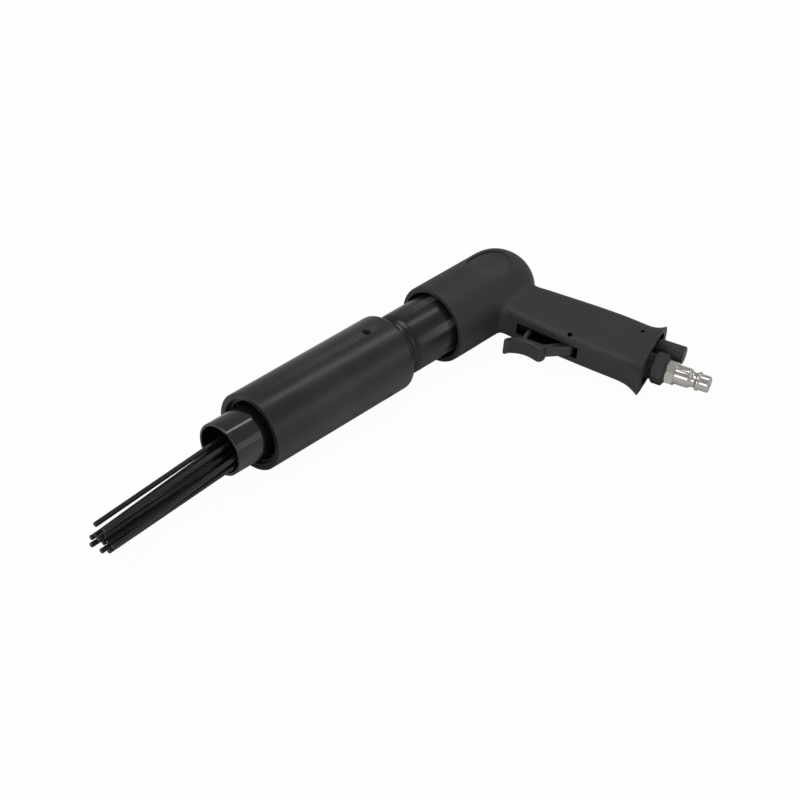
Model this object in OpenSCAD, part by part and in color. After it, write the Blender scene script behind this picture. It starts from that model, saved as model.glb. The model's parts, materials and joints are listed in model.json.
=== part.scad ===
// Air-driven needle scaler with a pistol grip, lying on its side.
// +X runs forward along the barrel to the needle tips, +Y towards the grip, +Z up.
// The origin is the centre of the front rim of the outer sleeve. All lengths in millimetres.

/* [Sleeve] */
// Outer diameter of the sleeve
sleeve_d = 48; // [44:0.5:52]
// Length of the sleeve
sleeve_l = 112; // [106:1:120]
// Wall of the sleeve
sleeve_wall = 3.7; // [3.2:0.1:4.2]
// Distance of the lock screws from the sleeve's rear end
lock_screw_inset = 19; // [14:0.5:22]
// Diameter of a lock screw
lock_screw_d = 5; // [4:0.5:6]

/* [Needle tube] */
// Wall of the needle tube
tube_wall = 1.7; // [1.4:0.1:2]
// Length of the needle tube that stands out of the sleeve
tube_out = 23.2; // [16:0.2:32]
// Thickness of the holder's flange
holder_t = 8.5; // [7:0.5:9]

/* [Needles] */
// Diameter of a needle
needle_d = 3; // [2.4:0.1:3.2]
// Length of a needle
needle_l = 180; // [176:1:184]
// Diameter of a needle's head
head_d = 4.7; // [4.3:0.1:4.8]
// Length of a needle's head
head_l = 3; // [2:0.5:3.5]
// Diameter of the outer circle of needles
outer_circle_d = 19; // [18.6:0.1:19.4]
// Diameter of the inner circle of needles
inner_circle_d = 8.2; // [8:0.1:8.4]
// Sideways offset of the bundle at its tips
tip_offset = 4.4; // [2:0.2:5]
// Space between the foremost head and the holder behind it
head_play = 0.6; // [0.4:0.1:1.5]
// Spread of the tips along the barrel
tip_stagger = 5; // [2:0.5:6]

/* [Return spring] */
// Wire diameter of the return spring
spring_wire_d = 2.2; // [1.6:0.1:2.2]
// Number of curls of the return spring
spring_curls = 9; // [6:1:10]

/* [Cylinder] */
// Outer diameter of the cylinder's body
cylinder_d = 38.6; // [37:0.2:39]
// Diameter of the neck behind the sleeve
neck_d = 33; // [30:0.5:35]
// Length of the neck
neck_l = 6; // [4:0.5:8]
// Length of the cylinder between the sleeve and the housing
cylinder_shown_l = 39; // [36:1:48]
// Bore of the cylinder
bore_d = 19.2; // [18:0.2:21]
// Length of the cylinder's nose inside the sleeve
nose_l = 28; // [26:0.5:30]
// Length of the piston
piston_l = 42; // [36:1:46]
// Diameter of the anvil's shank
shank_d = 10.2; // [9:0.2:11]
// Diameter of the anvil's head
anvil_d = 34; // [30:0.5:36]
// Length of the anvil's head
anvil_head_l = 10; // [8:0.5:10.5]
// Forward travel of the anvil
anvil_travel = 3; // [1.5:0.5:3]

/* [Housing] */
// Outer diameter of the housing's barrel
housing_d = 49.4; // [48:0.2:52]
// Length of the barrel from its rim to the centre of the rear dome
barrel_l = 57.5; // [55:0.5:62]
// Wall at the barrel's open rim
rim_wall = 3.2; // [2.6:0.1:3.6]
// Depth of the exhaust ring behind the rim
exhaust_depth = 14; // [8:1:18]
// Depth of the valve chamber behind the dome's centre
chamber_depth = 13; // [11:0.5:14]

/* [Grip] */
// Backward rake of the grip from square to the barrel
grip_rake = 19.4; // [14:0.2:22]
// Distance of the grip's axis behind the barrel's rim
grip_setback = 31.8; // [29:0.2:36]
// Length of the grip along its axis, from the barrel's axis to its end face
grip_l = 118.5; // [114:0.5:124]
// Reach of the grip behind its axis
grip_rear = 31; // [29.5:0.5:34]
// Reach of the grip in front of its axis at the trigger's pivot
grip_front = 11; // [10:0.5:13]
// Thickness of the grip
grip_t = 22.4; // [21:0.2:26]
// Width of the trigger slot
slot_w = 8; // [7.6:0.1:9]
// Depth of the recess in the grip's end
end_recess = 5; // [3:0.5:6]

/* [Trigger] */
// Distance of the trigger's pivot from the barrel's axis, along the grip
pivot_w = 69.5; // [68:0.5:72]
// Distance of the throttle stem from the barrel's axis, along the grip
throttle_w = 43.5; // [42.5:0.5:45]
// Width of the trigger's finger pad
pad_w = 11; // [9:0.5:13]
// Width of the trigger's arm
arm_w = 7; // [6:0.1:7.2]
// Diameter of the trigger pin
trigger_pin_d = 3; // [2.5:0.1:3.5]
// Diameter of the throttle stem
stem_d = 3; // [2.6:0.1:3.2]

/* [Inlet] */
// Thread diameter of the inlet bush
bush_d = 16; // [15:0.2:16.4]
// Width across the flats of the inlet bush
bush_flats = 17; // [16.6:0.2:19]
// Width across the flats of the air plug's hexagon
plug_flats = 14; // [13:0.2:16]
// Diameter of the air plug's body
plug_body_d = 12; // [11:0.1:12.6]
// Diameter of the air plug's nose
plug_nose_d = 10; // [9:0.1:10.4]
// Bore of the air plug
plug_bore_d = 7.2; // [6:0.1:7.4]
// Diameter of the regulator knob
knob_d = 11; // [10:0.2:12]
// Length of the regulator knob
knob_l = 17; // [14:0.5:20]
// Distance of the regulator's axis behind the grip's axis
knob_setback = 19.3; // [19:0.1:20]

/* [Hidden] */

round_fn = 96;
small_fn = 48;

// Clearances and edges shared by all pieces
overrun = 0.5;
run_gap = 0.05;
slide_gap = 0.3;
seat_gap = 0.3;
edge_r = 0.6;

// Sleeve and lock screws
sleeve_r = sleeve_d / 2;
sleeve_bore_r = sleeve_r - sleeve_wall;
sleeve_rear_r = 3;
sleeve_front_bevel = 0.5;
lock_screw_count = 3;
lock_screw_turn = 4.5;
lock_screw_sink = 1.2;
lock_socket_flats = 2.5;
lock_socket_depth = 1.4;
lock_screw_x = lock_screw_inset - sleeve_l;

// Retaining ring in its groove
ring_setback = 3;
ring_t = 1.4;
ring_bite = 0.9;
ring_reach = 2;
ring_inner_r = sleeve_bore_r - ring_reach;
ring_groove_r = sleeve_bore_r + ring_bite + run_gap;
ring_rear_x = -ring_setback - ring_t;
ring_gap_turn = 34;
ring_turn = 108;

// Springs: rings to a curl and sides of the wire
spring_rings = 8;
spring_sides = 6;
spring_side_gap = 0.25;
spring_mean_r = sleeve_bore_r - spring_side_gap - spring_wire_d / 2;

// Anvil, cylinder and piston
nose_front_x = nose_l - sleeve_l;
nose_r = sleeve_bore_r - run_gap;
cylinder_r = cylinder_d / 2;
neck_r = neck_d / 2;
neck_rear_x = -(sleeve_l + neck_l);
shoulder_l = 3;
bore_r = bore_d / 2;
shank_r = shank_d / 2;
shank_out = 4;
anvil_r = anvil_d / 2;
anvil_rear_x = nose_front_x + seat_gap;
anvil_front_x = anvil_rear_x + anvil_head_l;
bore_front_x = -sleeve_l;
shank_rear_x = bore_front_x - shank_out;
piston_r = bore_r - run_gap;
piston_groove_depth = 0.8;
piston_groove_w = 2;
exhaust_port_r = 2.5;
exhaust_port_count = 6;

// Needle holder and needle tube, in front of the anvil
strike_gap = 3.6;
spigot_l = 8;
tube_gap = 0.2;
tube_r = (spring_mean_r - spring_wire_d / 2) * cos(180 / spring_rings) - tube_gap;
tube_bore_r = tube_r - tube_wall;
holder_r = sleeve_bore_r - run_gap;
needle_rear_x = anvil_front_x + anvil_travel + strike_gap;
head_front_x = needle_rear_x + tip_stagger + head_l;
holder_rear_x = head_front_x + head_play;
holder_front_x = holder_rear_x + holder_t;
holder_mid_x = holder_rear_x + (holder_t + spigot_l) / 2;

// Needles: places of the tips are shares of the outer circle's radius
outer_count = 8;
inner_count = 4;
outer_turn = 32.2;
inner_turn = 27.5;
needle_count = outer_count + inner_count;
outer_circle_r = outer_circle_d / 2;
inner_circle_r = inner_circle_d / 2;
needle_r = needle_d / 2;
needle_tip_r = 0.4;
needle_hole_play = 0.6;
needle_hole_d = needle_d + needle_hole_play;
tip_y_shares = [-0.30, -0.40, -0.65, -0.47, 0.42, 1.02, 1.32, 0.51, 0.14, 0.04, 0.43, 0.42];
tip_z_shares = [0.76, -0.07, -0.32, -0.64, -0.58, -0.28, 0.11, 0.76, 0.12, -0.49, -0.21, 0.35];
stagger_shares = [0.39, 0.36, 0.57, 0.92, 0.92, 0.81, 0.62, 0.37, 0.79, 0.01, 0, 0.29];
tip_x = head_front_x - head_l + needle_l;

// The bundle sags until its lowest needles almost rest in the mouth of the tube
sag_share = 0.694;
mouth_share = (tube_out - holder_mid_x) / (tip_x - holder_mid_x);
mouth_depth_share = 0.96;
mouth_depth = mouth_depth_share * (tube_bore_r - needle_r - seat_gap);
lowest_share = max([for (i = [0 : outer_count - 1]) -cos(outer_turn + 360 * i / outer_count)]);
hole_depth = lowest_share * outer_circle_r;
lowest_tip = min(tip_z_shares) * outer_circle_r;
full_drop = (mouth_depth - hole_depth * (1 - mouth_share)) / mouth_share + lowest_tip;
tip_drop = sag_share * full_drop;

// Housing along the barrel
housing_r = housing_d / 2;
rim_x = -(sleeve_l + cylinder_shown_l);
dome_x = rim_x - barrel_l;
rim_bore_r = housing_r - rim_wall;
rim_edge_r = 1.2;
cylinder_inset = 3.5;
chamber_step = 1.8;
cylinder_rear_x = dome_x + cylinder_inset;
chamber_rear_x = dome_x - chamber_depth;
chamber_r = cylinder_r - chamber_step;
piston_front_share = 0.45;
piston_space = shank_rear_x - cylinder_rear_x - piston_l;
piston_front_x = shank_rear_x - piston_front_share * piston_space;

// Valve pieces behind the cylinder
valve_seat_t = 3;
valve_seat_rear_x = cylinder_rear_x - valve_seat_t;
valve_disc_t = 1;
valve_lift = 1.2;
valve_disc_r = 8;
valve_port_r = 1.6;
valve_port_count = 6;
valve_port_circle_r = 5;
valve_cap_r = chamber_r - run_gap;
valve_cap_pocket_r = valve_disc_r + slide_gap;
valve_disc_front_x = valve_seat_rear_x - run_gap;
valve_disc_rear_x = valve_disc_front_x - valve_disc_t;
valve_pocket_x = valve_disc_rear_x - valve_lift - run_gap;

// Grip: sections from the barrel's axis to the end face, as shares of its sizes
grip_x = rim_x - grip_setback;
grip_sides = 28;
front_power = 5;
rear_power = 3;
grip_taper_share = 0.12;
station_shares = [0.05, 0.17, 0.30, 0.42, 0.59, 0.76, 0.85, 0.905, 0.945, 0.98, 1];
rear_shares = [0.87, 0.94, 0.96, 0.98, 1.00, 0.99, 0.96, 0.94, 0.935, 0.965, 1.01];
front_shares = [0.40, 0.42, 0.60, 0.78, 1.02, 1.22, 1.30, 1.40, 1.60, 1.86, 2.00];
half_shares = [0.60, 0.57, 0.53, 0.505, 0.50, 0.50, 0.50, 0.51, 0.53, 0.57, 0.59];
recess_share = 0.84;
recess_behind_knob = 0.6;
recess_before_bush = 1.9;
recess_floor_w = grip_l - end_recess;

// Trigger slot and throttle
slot_above_stem = 8.1;
slot_below_pivot = 7.3;
slot_top_w = throttle_w - slot_above_stem;
slot_end_w = pivot_w + slot_below_pivot;
slot_floor_u = 3;
pivot_inset = 3;
pivot_u = grip_front - pivot_inset;
throttle_bush_l = 10;
throttle_bush_wall_gap = 0.1;
throttle_bush_r = slot_w / 2 - throttle_bush_wall_gap;
throttle_bush_bore_r = 2.6;
throttle_port_r = 2;
bush_guide_l = 4;
throttle_seat_u = slot_floor_u - throttle_bush_l;
throttle_chamber_l = 15;
throttle_end_u = throttle_seat_u - throttle_chamber_l;
throttle_chamber_r = 4.4;
stem_r = stem_d / 2;
poppet_r = 3.6;
poppet_l = 4;
poppet_guide_r = 1.6;
poppet_guide_l = 4;
poppet_seat_gap = 0.1;
poppet_front_u = throttle_seat_u - poppet_seat_gap;
seal_wire_d = 1.4;
seal_half = seal_wire_d / 2;
throttle_spring_wire_d = 0.8;
throttle_spring_curls = 5;
throttle_spring_r = (poppet_guide_r + throttle_chamber_r) / 2;
throttle_spring_front_u = poppet_front_u - poppet_l - seat_gap - throttle_spring_wire_d / 2;
throttle_spring_rear_u = throttle_end_u + seat_gap + throttle_spring_wire_d / 2;
throttle_spring_l = throttle_spring_front_u - throttle_spring_rear_u;
air_way_r = 3;
riser_r = 2.5;
riser_rear_share = 0.95;
riser_top_share = 0.5;

// Trigger outline: places from the pivot, forward and up towards the barrel
trigger_pin_r = trigger_pin_d / 2;
trigger_pin_sink = 4.6;
arm_end_r = 4.4;
arm_t = 5.6;
arm_root = 1;
pad_back = 11.4;
pad_back_low = 22;
pad_back_high = 28;
pad_top = 34.6;
pad_tip = 20;
pad_tip_r = 1.6;
pad_upper = [16.4, 28];
pad_waist = [15.2, 23];
pad_lower = [15.5, 19];
pad_heel = 16.6;
pad_heel_rise = 13.8;
pad_heel_r = 1.4;
pad_foot = 10.8;
stem_out_u = pivot_u + pad_back - seat_gap;

// Regulator
knob_r = knob_d / 2;
knob_sink = 1;
knob_start_w = grip_l - knob_sink;
regulator_r = 5;
regulator_l = 19;
regulator_inner_w = recess_floor_w - regulator_l;
regulator_groove_r = 4;
regulator_pin_r = 1.2;
regulator_pin_inset = 10.8;
regulator_pin_sink = 1.5;
regulator_pin_w = grip_l - regulator_pin_inset;
regulator_pin_u = regulator_groove_r + regulator_pin_r + run_gap - knob_setback;
regulator_pin_l = grip_t - 2 * regulator_pin_sink;
regulator_tip_r = 2.6;
regulator_tip_l = 3;
regulator_bore_gap = 1;
regulator_bore_w = regulator_inner_w - regulator_tip_l - regulator_bore_gap;
regulator_seal_rise = 5;
regulator_seal_w = regulator_inner_w + regulator_seal_rise;
feed_offset = 1;
feed_u = feed_offset - knob_setback;

// Inlet bush, filter, washer and air plug
bush_r = bush_d / 2;
bush_depth = 10.5;
bush_inner_w = recess_floor_w - bush_depth;
bush_thread_shown = 3.4;
bush_hex_w = grip_l + bush_thread_shown;
bush_hex_l = 7.2;
bush_end_w = bush_hex_w + bush_hex_l;
bush_air_r = 4.4;
inlet_step = 1;
inlet_space = 1.5;
cross_way_w = bush_inner_w - air_way_r - inlet_step;
inlet_floor_w = cross_way_w - air_way_r - inlet_space;
plug_thread_r = 5.6;
plug_thread_l = 11;
thread_floor_w = bush_end_w - plug_thread_l - overrun;
filter_t = 0.6;
washer_t = 1.2;
washer_r = 7.4;
plug_hex_w = bush_end_w + washer_t;
plug_hex_l = 5.4;
plug_body_w = plug_hex_w + plug_hex_l;
plug_body_l = 8.8;
plug_neck_l = 4.6;
plug_neck_r = 4.6;
plug_ridge_l = 1.8;
plug_ridge_step = 0.1;
plug_nose_l = 6;
plug_bevel = 0.8;

// The tool lies on its barrel and on the lower edge of the grip's end
flare_mid_share = 0.1;
flare_y = grip_l * cos(grip_rake) - flare_mid_share * grip_rear;
flare_half = half_shares[len(half_shares) - 1] * grip_t;
rest_roll = asin(housing_r / norm([flare_y, flare_half])) - atan2(flare_half, flare_y);

// Frames and repeated shapes

module laid() {
    rotate([-rest_roll, 0, 0]) children();
}

// Grip frame: x forward from the grip's axis, z along the grip, away from the barrel
module in_grip() {
    laid() translate([grip_x, 0, 0]) rotate([0, 0, grip_rake]) rotate([-90, 0, 0]) children();
}

// Solid of revolution about the barrel's axis from [radius, x] points
module turned(points) {
    rotate([0, 90, 0]) rotate_extrude($fn = round_fn) polygon(points);
}

// Solid of revolution about the grip frame's z from [radius, w] points
module turned_along(points) {
    rotate_extrude($fn = small_fn) polygon(points);
}

// Cylinder along X of the grip frame between two places
module drill_u(r, u0, u1) {
    translate([u0, 0, 0]) rotate([0, 90, 0]) cylinder(r = r, h = u1 - u0, $fn = small_fn);
}

// Hexagonal bar along z between its flats
module hex_bar(flats, h) {
    cylinder(d = flats / cos(30), h = h, $fn = 6);
}

function arc_points(centre, r, from, to, steps) =
    [for (i = [0 : steps])
        let (angle = from + (to - from) * i / steps)
        centre + r * [cos(angle), sin(angle)]];

// Superellipse point of a grip section
function signed_power(v, p) = sign(v) * pow(abs(v), p);

function section_point(k, rear, front, half) =
    let (angle = -360 * k / grip_sides)
    let (power = cos(angle) > 0 ? front_power : rear_power)
    let (along = signed_power(cos(angle), 2 / power))
    let (across = signed_power(sin(angle), 2 / power))
    let (mid = (front - rear) / 2)
    let (reach = (front + rear) / 2)
    [mid + reach * along, half * across * (1 - grip_taper_share * along)];

function ring_points(rear, front, half) =
    [for (k = [0 : grip_sides - 1]) section_point(k, rear, front, half)];

// Closed loft through rings of equal point counts, faces as triangles
module loft(rings) {
    sides = len(rings[0]);
    last = len(rings) - 1;
    walls = [for (i = [0 : last - 1]) for (k = [0 : sides - 1]) each [
        [i * sides + k, i * sides + (k + 1) % sides, (i + 1) * sides + (k + 1) % sides],
        [i * sides + k, (i + 1) * sides + (k + 1) % sides, (i + 1) * sides + k]
    ]];
    floors = [for (k = [1 : sides - 2]) [0, k + 1, k]];
    lids = [for (k = [1 : sides - 2]) [last * sides, last * sides + k, last * sides + k + 1]];
    polyhedron(points = [for (ring = rings) each ring], faces = concat(walls, floors, lids));
}

// Helical spring along z: one unbroken tube
function spring_place(t, mean_r, length, curls) =
    [mean_r * cos(360 * curls * t), mean_r * sin(360 * curls * t), length * t];

function spring_ring(t, mean_r, wire_r, length, curls) =
    let (turn = 360 * curls * t)
    [for (s = [0 : spring_sides - 1])
        let (a = 360 * s / spring_sides)
        spring_place(t, mean_r, length, curls)
            + wire_r * [cos(a) * cos(turn), cos(a) * sin(turn), sin(a)]];

module helix(mean_r, wire_d, length, curls) {
    steps = curls * spring_rings;
    loft([for (i = [0 : steps]) spring_ring(i / steps, mean_r, wire_d / 2, length, curls)]);
}

// Least gap of a spring to itself, measured between points one curl apart
function spring_gap(mean_r, wire_d, length, curls) =
    min([for (i = [0 : (curls - 1) * spring_rings])
        norm(spring_place((i + spring_rings) / (curls * spring_rings), mean_r, length, curls)
            - spring_place(i / (curls * spring_rings), mean_r, length, curls)) - wire_d]);

// Pieces along the barrel

module sleeve() {
    color([0.10, 0.10, 0.11])
    difference() {
        turned(concat(
            [[sleeve_bore_r, -sleeve_front_bevel], [sleeve_bore_r + sleeve_front_bevel, 0]],
            [[sleeve_r - sleeve_front_bevel, 0], [sleeve_r, -sleeve_front_bevel]],
            arc_points([sleeve_r - sleeve_rear_r, sleeve_rear_r - sleeve_l], sleeve_rear_r, 0, -90, 8),
            [[sleeve_bore_r, -sleeve_l]]
        ));
        turned([
            [0, ring_rear_x - run_gap], [ring_groove_r, ring_rear_x - run_gap],
            [ring_groove_r, run_gap - ring_setback], [0, run_gap - ring_setback]
        ]);
        for (i = [0 : lock_screw_count - 1])
            lock_screw_place(i) translate([0, 0, sleeve_bore_r - overrun])
                cylinder(d = lock_screw_d + 2 * run_gap, h = sleeve_wall + 2 * overrun, $fn = small_fn);
    }
}

module lock_screw_place(i) {
    rotate([-lock_screw_turn - 360 * i / lock_screw_count, 0, 0])
        translate([lock_screw_x, 0, 0]) children();
}

module lock_screw(i) {
    bottom = nose_r + run_gap;
    top = sleeve_r - lock_screw_sink;
    color([0.16, 0.16, 0.17])
    lock_screw_place(i) difference() {
        translate([0, 0, bottom]) cylinder(d = lock_screw_d, h = top - bottom, $fn = small_fn);
        translate([0, 0, top - lock_socket_depth]) hex_bar(lock_socket_flats, lock_socket_depth + overrun);
    }
}

module spring_retaining_ring() {
    color([0.20, 0.20, 0.21])
    difference() {
        turned([
            [ring_inner_r, ring_rear_x], [sleeve_bore_r + ring_bite, ring_rear_x],
            [sleeve_bore_r + ring_bite, -ring_setback], [ring_inner_r, -ring_setback]
        ]);
        rotate([ring_turn, 0, 0]) translate([ring_rear_x - overrun, 0, 0])
            rotate([0, 90, 0]) linear_extrude(ring_t + 2 * overrun)
                polygon([[0, 0], sleeve_r * [cos(ring_gap_turn / 2), sin(ring_gap_turn / 2)],
                    sleeve_r * [cos(ring_gap_turn / 2), -sin(ring_gap_turn / 2)]]);
    }
}

spring_front_x = ring_rear_x - seat_gap - spring_wire_d / 2;
spring_rear_x = holder_front_x + seat_gap + spring_wire_d / 2;
spring_l = spring_front_x - spring_rear_x;
echo(return_spring_gap = spring_gap(spring_mean_r, spring_wire_d, spring_l, spring_curls));

module return_spring() {
    color([0.30, 0.30, 0.32])
    translate([spring_rear_x, 0, 0]) rotate([0, 90, 0])
        helix(spring_mean_r, spring_wire_d, spring_l, spring_curls);
}

module needle_tube() {
    front = tube_out;
    color([0.06, 0.06, 0.07])
    turned([
        [tube_bore_r, holder_front_x], [tube_r, holder_front_x], [tube_r, front - edge_r / 2],
        [tube_r - edge_r / 2, front], [tube_bore_r + edge_r / 2, front], [tube_bore_r, front - edge_r / 2]
    ]);
}

// Hole of needle i in the holder, in the plane square to the barrel
function needle_hole(i) =
    let (outer = i < outer_count)
    let (r = outer ? outer_circle_r : inner_circle_r)
    let (step = outer ? i / outer_count : (i - outer_count) / inner_count)
    let (turn = (outer ? outer_turn : inner_turn) + 360 * step)
    [-r * sin(turn), r * cos(turn)];

module needle_holder() {
    spigot_x = holder_front_x + spigot_l;
    color([0.12, 0.12, 0.13])
    difference() {
        turned([
            [0, holder_rear_x], [holder_r - edge_r, holder_rear_x], [holder_r, holder_rear_x + edge_r],
            [holder_r, holder_front_x - edge_r], [holder_r - edge_r, holder_front_x],
            [tube_bore_r - run_gap, holder_front_x], [tube_bore_r - run_gap, spigot_x], [0, spigot_x]
        ]);
        for (i = [0 : needle_count - 1])
            needle_frame(i) rotate([0, -90, 0]) cylinder(d = needle_hole_d, h = needle_l, $fn = small_fn);
    }
}

// Needle i: its axis passes the middle of its hole and its tip's place
function needle_tip(i) = [
    tip_x - tip_stagger * (1 - stagger_shares[i]),
    tip_offset + tip_y_shares[i] * outer_circle_r,
    tip_z_shares[i] * outer_circle_r - tip_drop
];

function needle_way(i) =
    let (way = needle_tip(i) - [holder_mid_x, needle_hole(i)[0], needle_hole(i)[1]])
    way / norm(way);

// Frame of needle i: x along the needle, zero at its tip
module needle_frame(i) {
    way = needle_way(i);
    translate(needle_tip(i)) rotate([0, 0, atan2(way[1], way[0])])
        rotate([0, -asin(way[2]), 0]) children();
}

module needle(i) {
    color([0.09, 0.09, 0.10])
    needle_frame(i) turned([
        [0, -needle_l], [head_d / 2, -needle_l],
        [head_d / 2, head_l - needle_l], [needle_r, head_l - needle_l],
        [needle_r, -needle_tip_r], [needle_r - needle_tip_r, 0], [0, 0]
    ]);
}

module anvil() {
    guided_r = shank_r - run_gap;
    color([0.34, 0.34, 0.36])
    turned([
        [0, shank_rear_x], [guided_r - edge_r, shank_rear_x], [guided_r, shank_rear_x + edge_r],
        [guided_r, anvil_rear_x], [anvil_r - edge_r, anvil_rear_x], [anvil_r, anvil_rear_x + edge_r],
        [anvil_r, anvil_front_x - edge_r], [anvil_r - edge_r, anvil_front_x], [0, anvil_front_x]
    ]);
}

module cylinder_liner() {
    shoulder_start = neck_rear_x - shoulder_l;
    color([0.08, 0.08, 0.09])
    difference() {
        turned(concat(
            [[shank_r, nose_front_x], [nose_r - edge_r, nose_front_x], [nose_r, nose_front_x - edge_r]],
            [[nose_r, -sleeve_l], [neck_r, -sleeve_l]],
            [[neck_r, neck_rear_x]],
            arc_points([cylinder_r - shoulder_l, shoulder_start], shoulder_l, 90, 0, 8),
            [[cylinder_r, cylinder_rear_x], [bore_r, cylinder_rear_x]],
            [[bore_r, bore_front_x], [shank_r, bore_front_x]]
        ));
        for (i = [0 : exhaust_port_count - 1])
            rotate([360 * i / exhaust_port_count, 0, 0])
                translate([rim_x - exhaust_depth / 2, 0, bore_r - overrun])
                    cylinder(r = exhaust_port_r, h = cylinder_r, $fn = small_fn);
    }
}

module piston() {
    rear = piston_front_x - piston_l;
    groove = piston_front_x - piston_l / 3;
    floor_r = piston_r - piston_groove_depth;
    color([0.55, 0.56, 0.58])
    turned([
        [0, rear], [piston_r - edge_r, rear], [piston_r, rear + edge_r],
        [piston_r, groove - piston_groove_w], [floor_r, groove - piston_groove_w],
        [floor_r, groove], [piston_r, groove],
        [piston_r, piston_front_x - edge_r], [piston_r - edge_r, piston_front_x], [0, piston_front_x]
    ]);
}

module valve_seat() {
    color([0.60, 0.60, 0.62])
    difference() {
        turned([
            [0, valve_seat_rear_x], [chamber_r - run_gap, valve_seat_rear_x],
            [chamber_r - run_gap, cylinder_rear_x - run_gap], [0, cylinder_rear_x - run_gap]
        ]);
        for (i = [0 : valve_port_count - 1])
            rotate([360 * i / valve_port_count, 0, 0])
                translate([valve_seat_rear_x - overrun, 0, valve_port_circle_r]) rotate([0, 90, 0])
                    cylinder(r = valve_port_r, h = valve_seat_t + 2 * overrun, $fn = small_fn);
    }
}

module valve_disc() {
    color([0.70, 0.70, 0.72])
    turned([
        [0, valve_disc_rear_x], [valve_disc_r, valve_disc_rear_x],
        [valve_disc_r, valve_disc_front_x], [0, valve_disc_front_x]
    ]);
}

module valve_cap() {
    color([0.60, 0.60, 0.62])
    difference() {
        turned([
            [0, chamber_rear_x + run_gap], [valve_cap_r, chamber_rear_x + run_gap],
            [valve_cap_r, valve_seat_rear_x - run_gap], [valve_cap_pocket_r, valve_seat_rear_x - run_gap],
            [valve_cap_pocket_r, valve_pocket_x], [0, valve_pocket_x]
        ]);
        for (i = [0 : valve_port_count - 1])
            rotate([360 * (i + 0.5) / valve_port_count, 0, 0])
                translate([chamber_rear_x - overrun, 0, valve_cap_pocket_r + valve_port_r])
                    rotate([0, 90, 0]) cylinder(r = valve_port_r, h = chamber_depth, $fn = small_fn);
    }
}

// Housing with its grip

module grip_body() {
    loft([for (i = [0 : len(station_shares) - 1])
        let (rear = rear_shares[i] * grip_rear)
        let (front = front_shares[i] * grip_front)
        let (half = half_shares[i] * grip_t)
        [for (p = ring_points(rear, front, half)) [p[0], p[1], station_shares[i] * grip_l]]]);
}

// Recess in the end face, around the knob and the bush
module end_pocket() {
    rear = knob_setback + knob_r + recess_behind_knob;
    front = bush_r + recess_before_bush;
    half = recess_share * half_shares[len(half_shares) - 1] * grip_t;
    translate([0, 0, recess_floor_w])
        linear_extrude(end_recess + overrun) polygon(ring_points(rear, front, half));
}

module trigger_slot() {
    translate([slot_floor_u, -slot_w / 2, slot_top_w]) cube([grip_rear, slot_w, slot_end_w - slot_top_w]);
}

module air_ways() {
    riser = [throttle_seat_u + bush_guide_l, 0, throttle_w];
    way = [-riser_rear_share * grip_rear, 0, riser_top_share * cylinder_r] - riser;
    feed_l = regulator_bore_w + overrun - throttle_w;
    translate([feed_u, 0, throttle_w]) cylinder(r = air_way_r, h = feed_l, $fn = small_fn);
    translate([0, 0, cross_way_w]) drill_u(air_way_r, -knob_setback, 0);
    translate(riser) rotate([0, atan2(way[0], way[2]), 0])
        cylinder(r = riser_r, h = norm(way), $fn = small_fn);
}

// Bore along the barrel's axis from its open rim to a floor
module barrel_bore(r, floor_x) {
    mouth_x = rim_x + overrun;
    turned([[0, mouth_x], [r, mouth_x], [r, floor_x], [0, floor_x]]);
}

module housing_bores() {
    bush_room = throttle_seat_u - run_gap;
    barrel_bore(rim_bore_r, rim_x - exhaust_depth);
    barrel_bore(cylinder_r + run_gap, cylinder_rear_x);
    barrel_bore(chamber_r, chamber_rear_x);
    in_grip() {
        trigger_slot();
        end_pocket();
        air_ways();
        translate([0, 0, throttle_w]) {
            drill_u(throttle_bush_r + run_gap, bush_room, slot_floor_u + overrun);
            drill_u(throttle_chamber_r, throttle_end_u, bush_room);
        }
        translate([0, 0, inlet_floor_w]) cylinder(r = bush_r - inlet_step, h = grip_l, $fn = small_fn);
        translate([0, 0, bush_inner_w]) cylinder(r = bush_r + run_gap, h = grip_l, $fn = small_fn);
        translate([-knob_setback, 0, regulator_bore_w])
            cylinder(r = regulator_r + run_gap, h = grip_l, $fn = small_fn);
        trigger_hole();
        translate([regulator_pin_u, 0, regulator_pin_w]) rotate([90, 0, 0])
            cylinder(r = regulator_pin_r + run_gap, h = 2 * grip_t, center = true, $fn = small_fn);
    }
}

module housing() {
    color([0.21, 0.21, 0.22])
    difference() {
        union() {
            turned(concat(
                [[0, rim_x], [housing_r - rim_edge_r, rim_x]],
                arc_points([housing_r - rim_edge_r, rim_x - rim_edge_r], rim_edge_r, 90, 0, 4),
                arc_points([0, dome_x], housing_r, 0, -90, 24)
            ));
            in_grip() grip_body();
        }
        housing_bores();
    }
}

// Trigger and throttle

// Extrudes an outline in the grip's plane across the grip
module across_grip(width) {
    rotate([90, 0, 0]) linear_extrude(width, center = true, convexity = 4) children();
}

// Places on the trigger's outline, from its pivot
function trigger_place(forward, rise) = [pivot_u + forward, pivot_w - rise];

module trigger_hole() {
    translate([pivot_u, 0, pivot_w]) rotate([90, 0, 0])
        cylinder(r = trigger_pin_r + run_gap, h = 2 * grip_t, center = true, $fn = small_fn);
}

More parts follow.
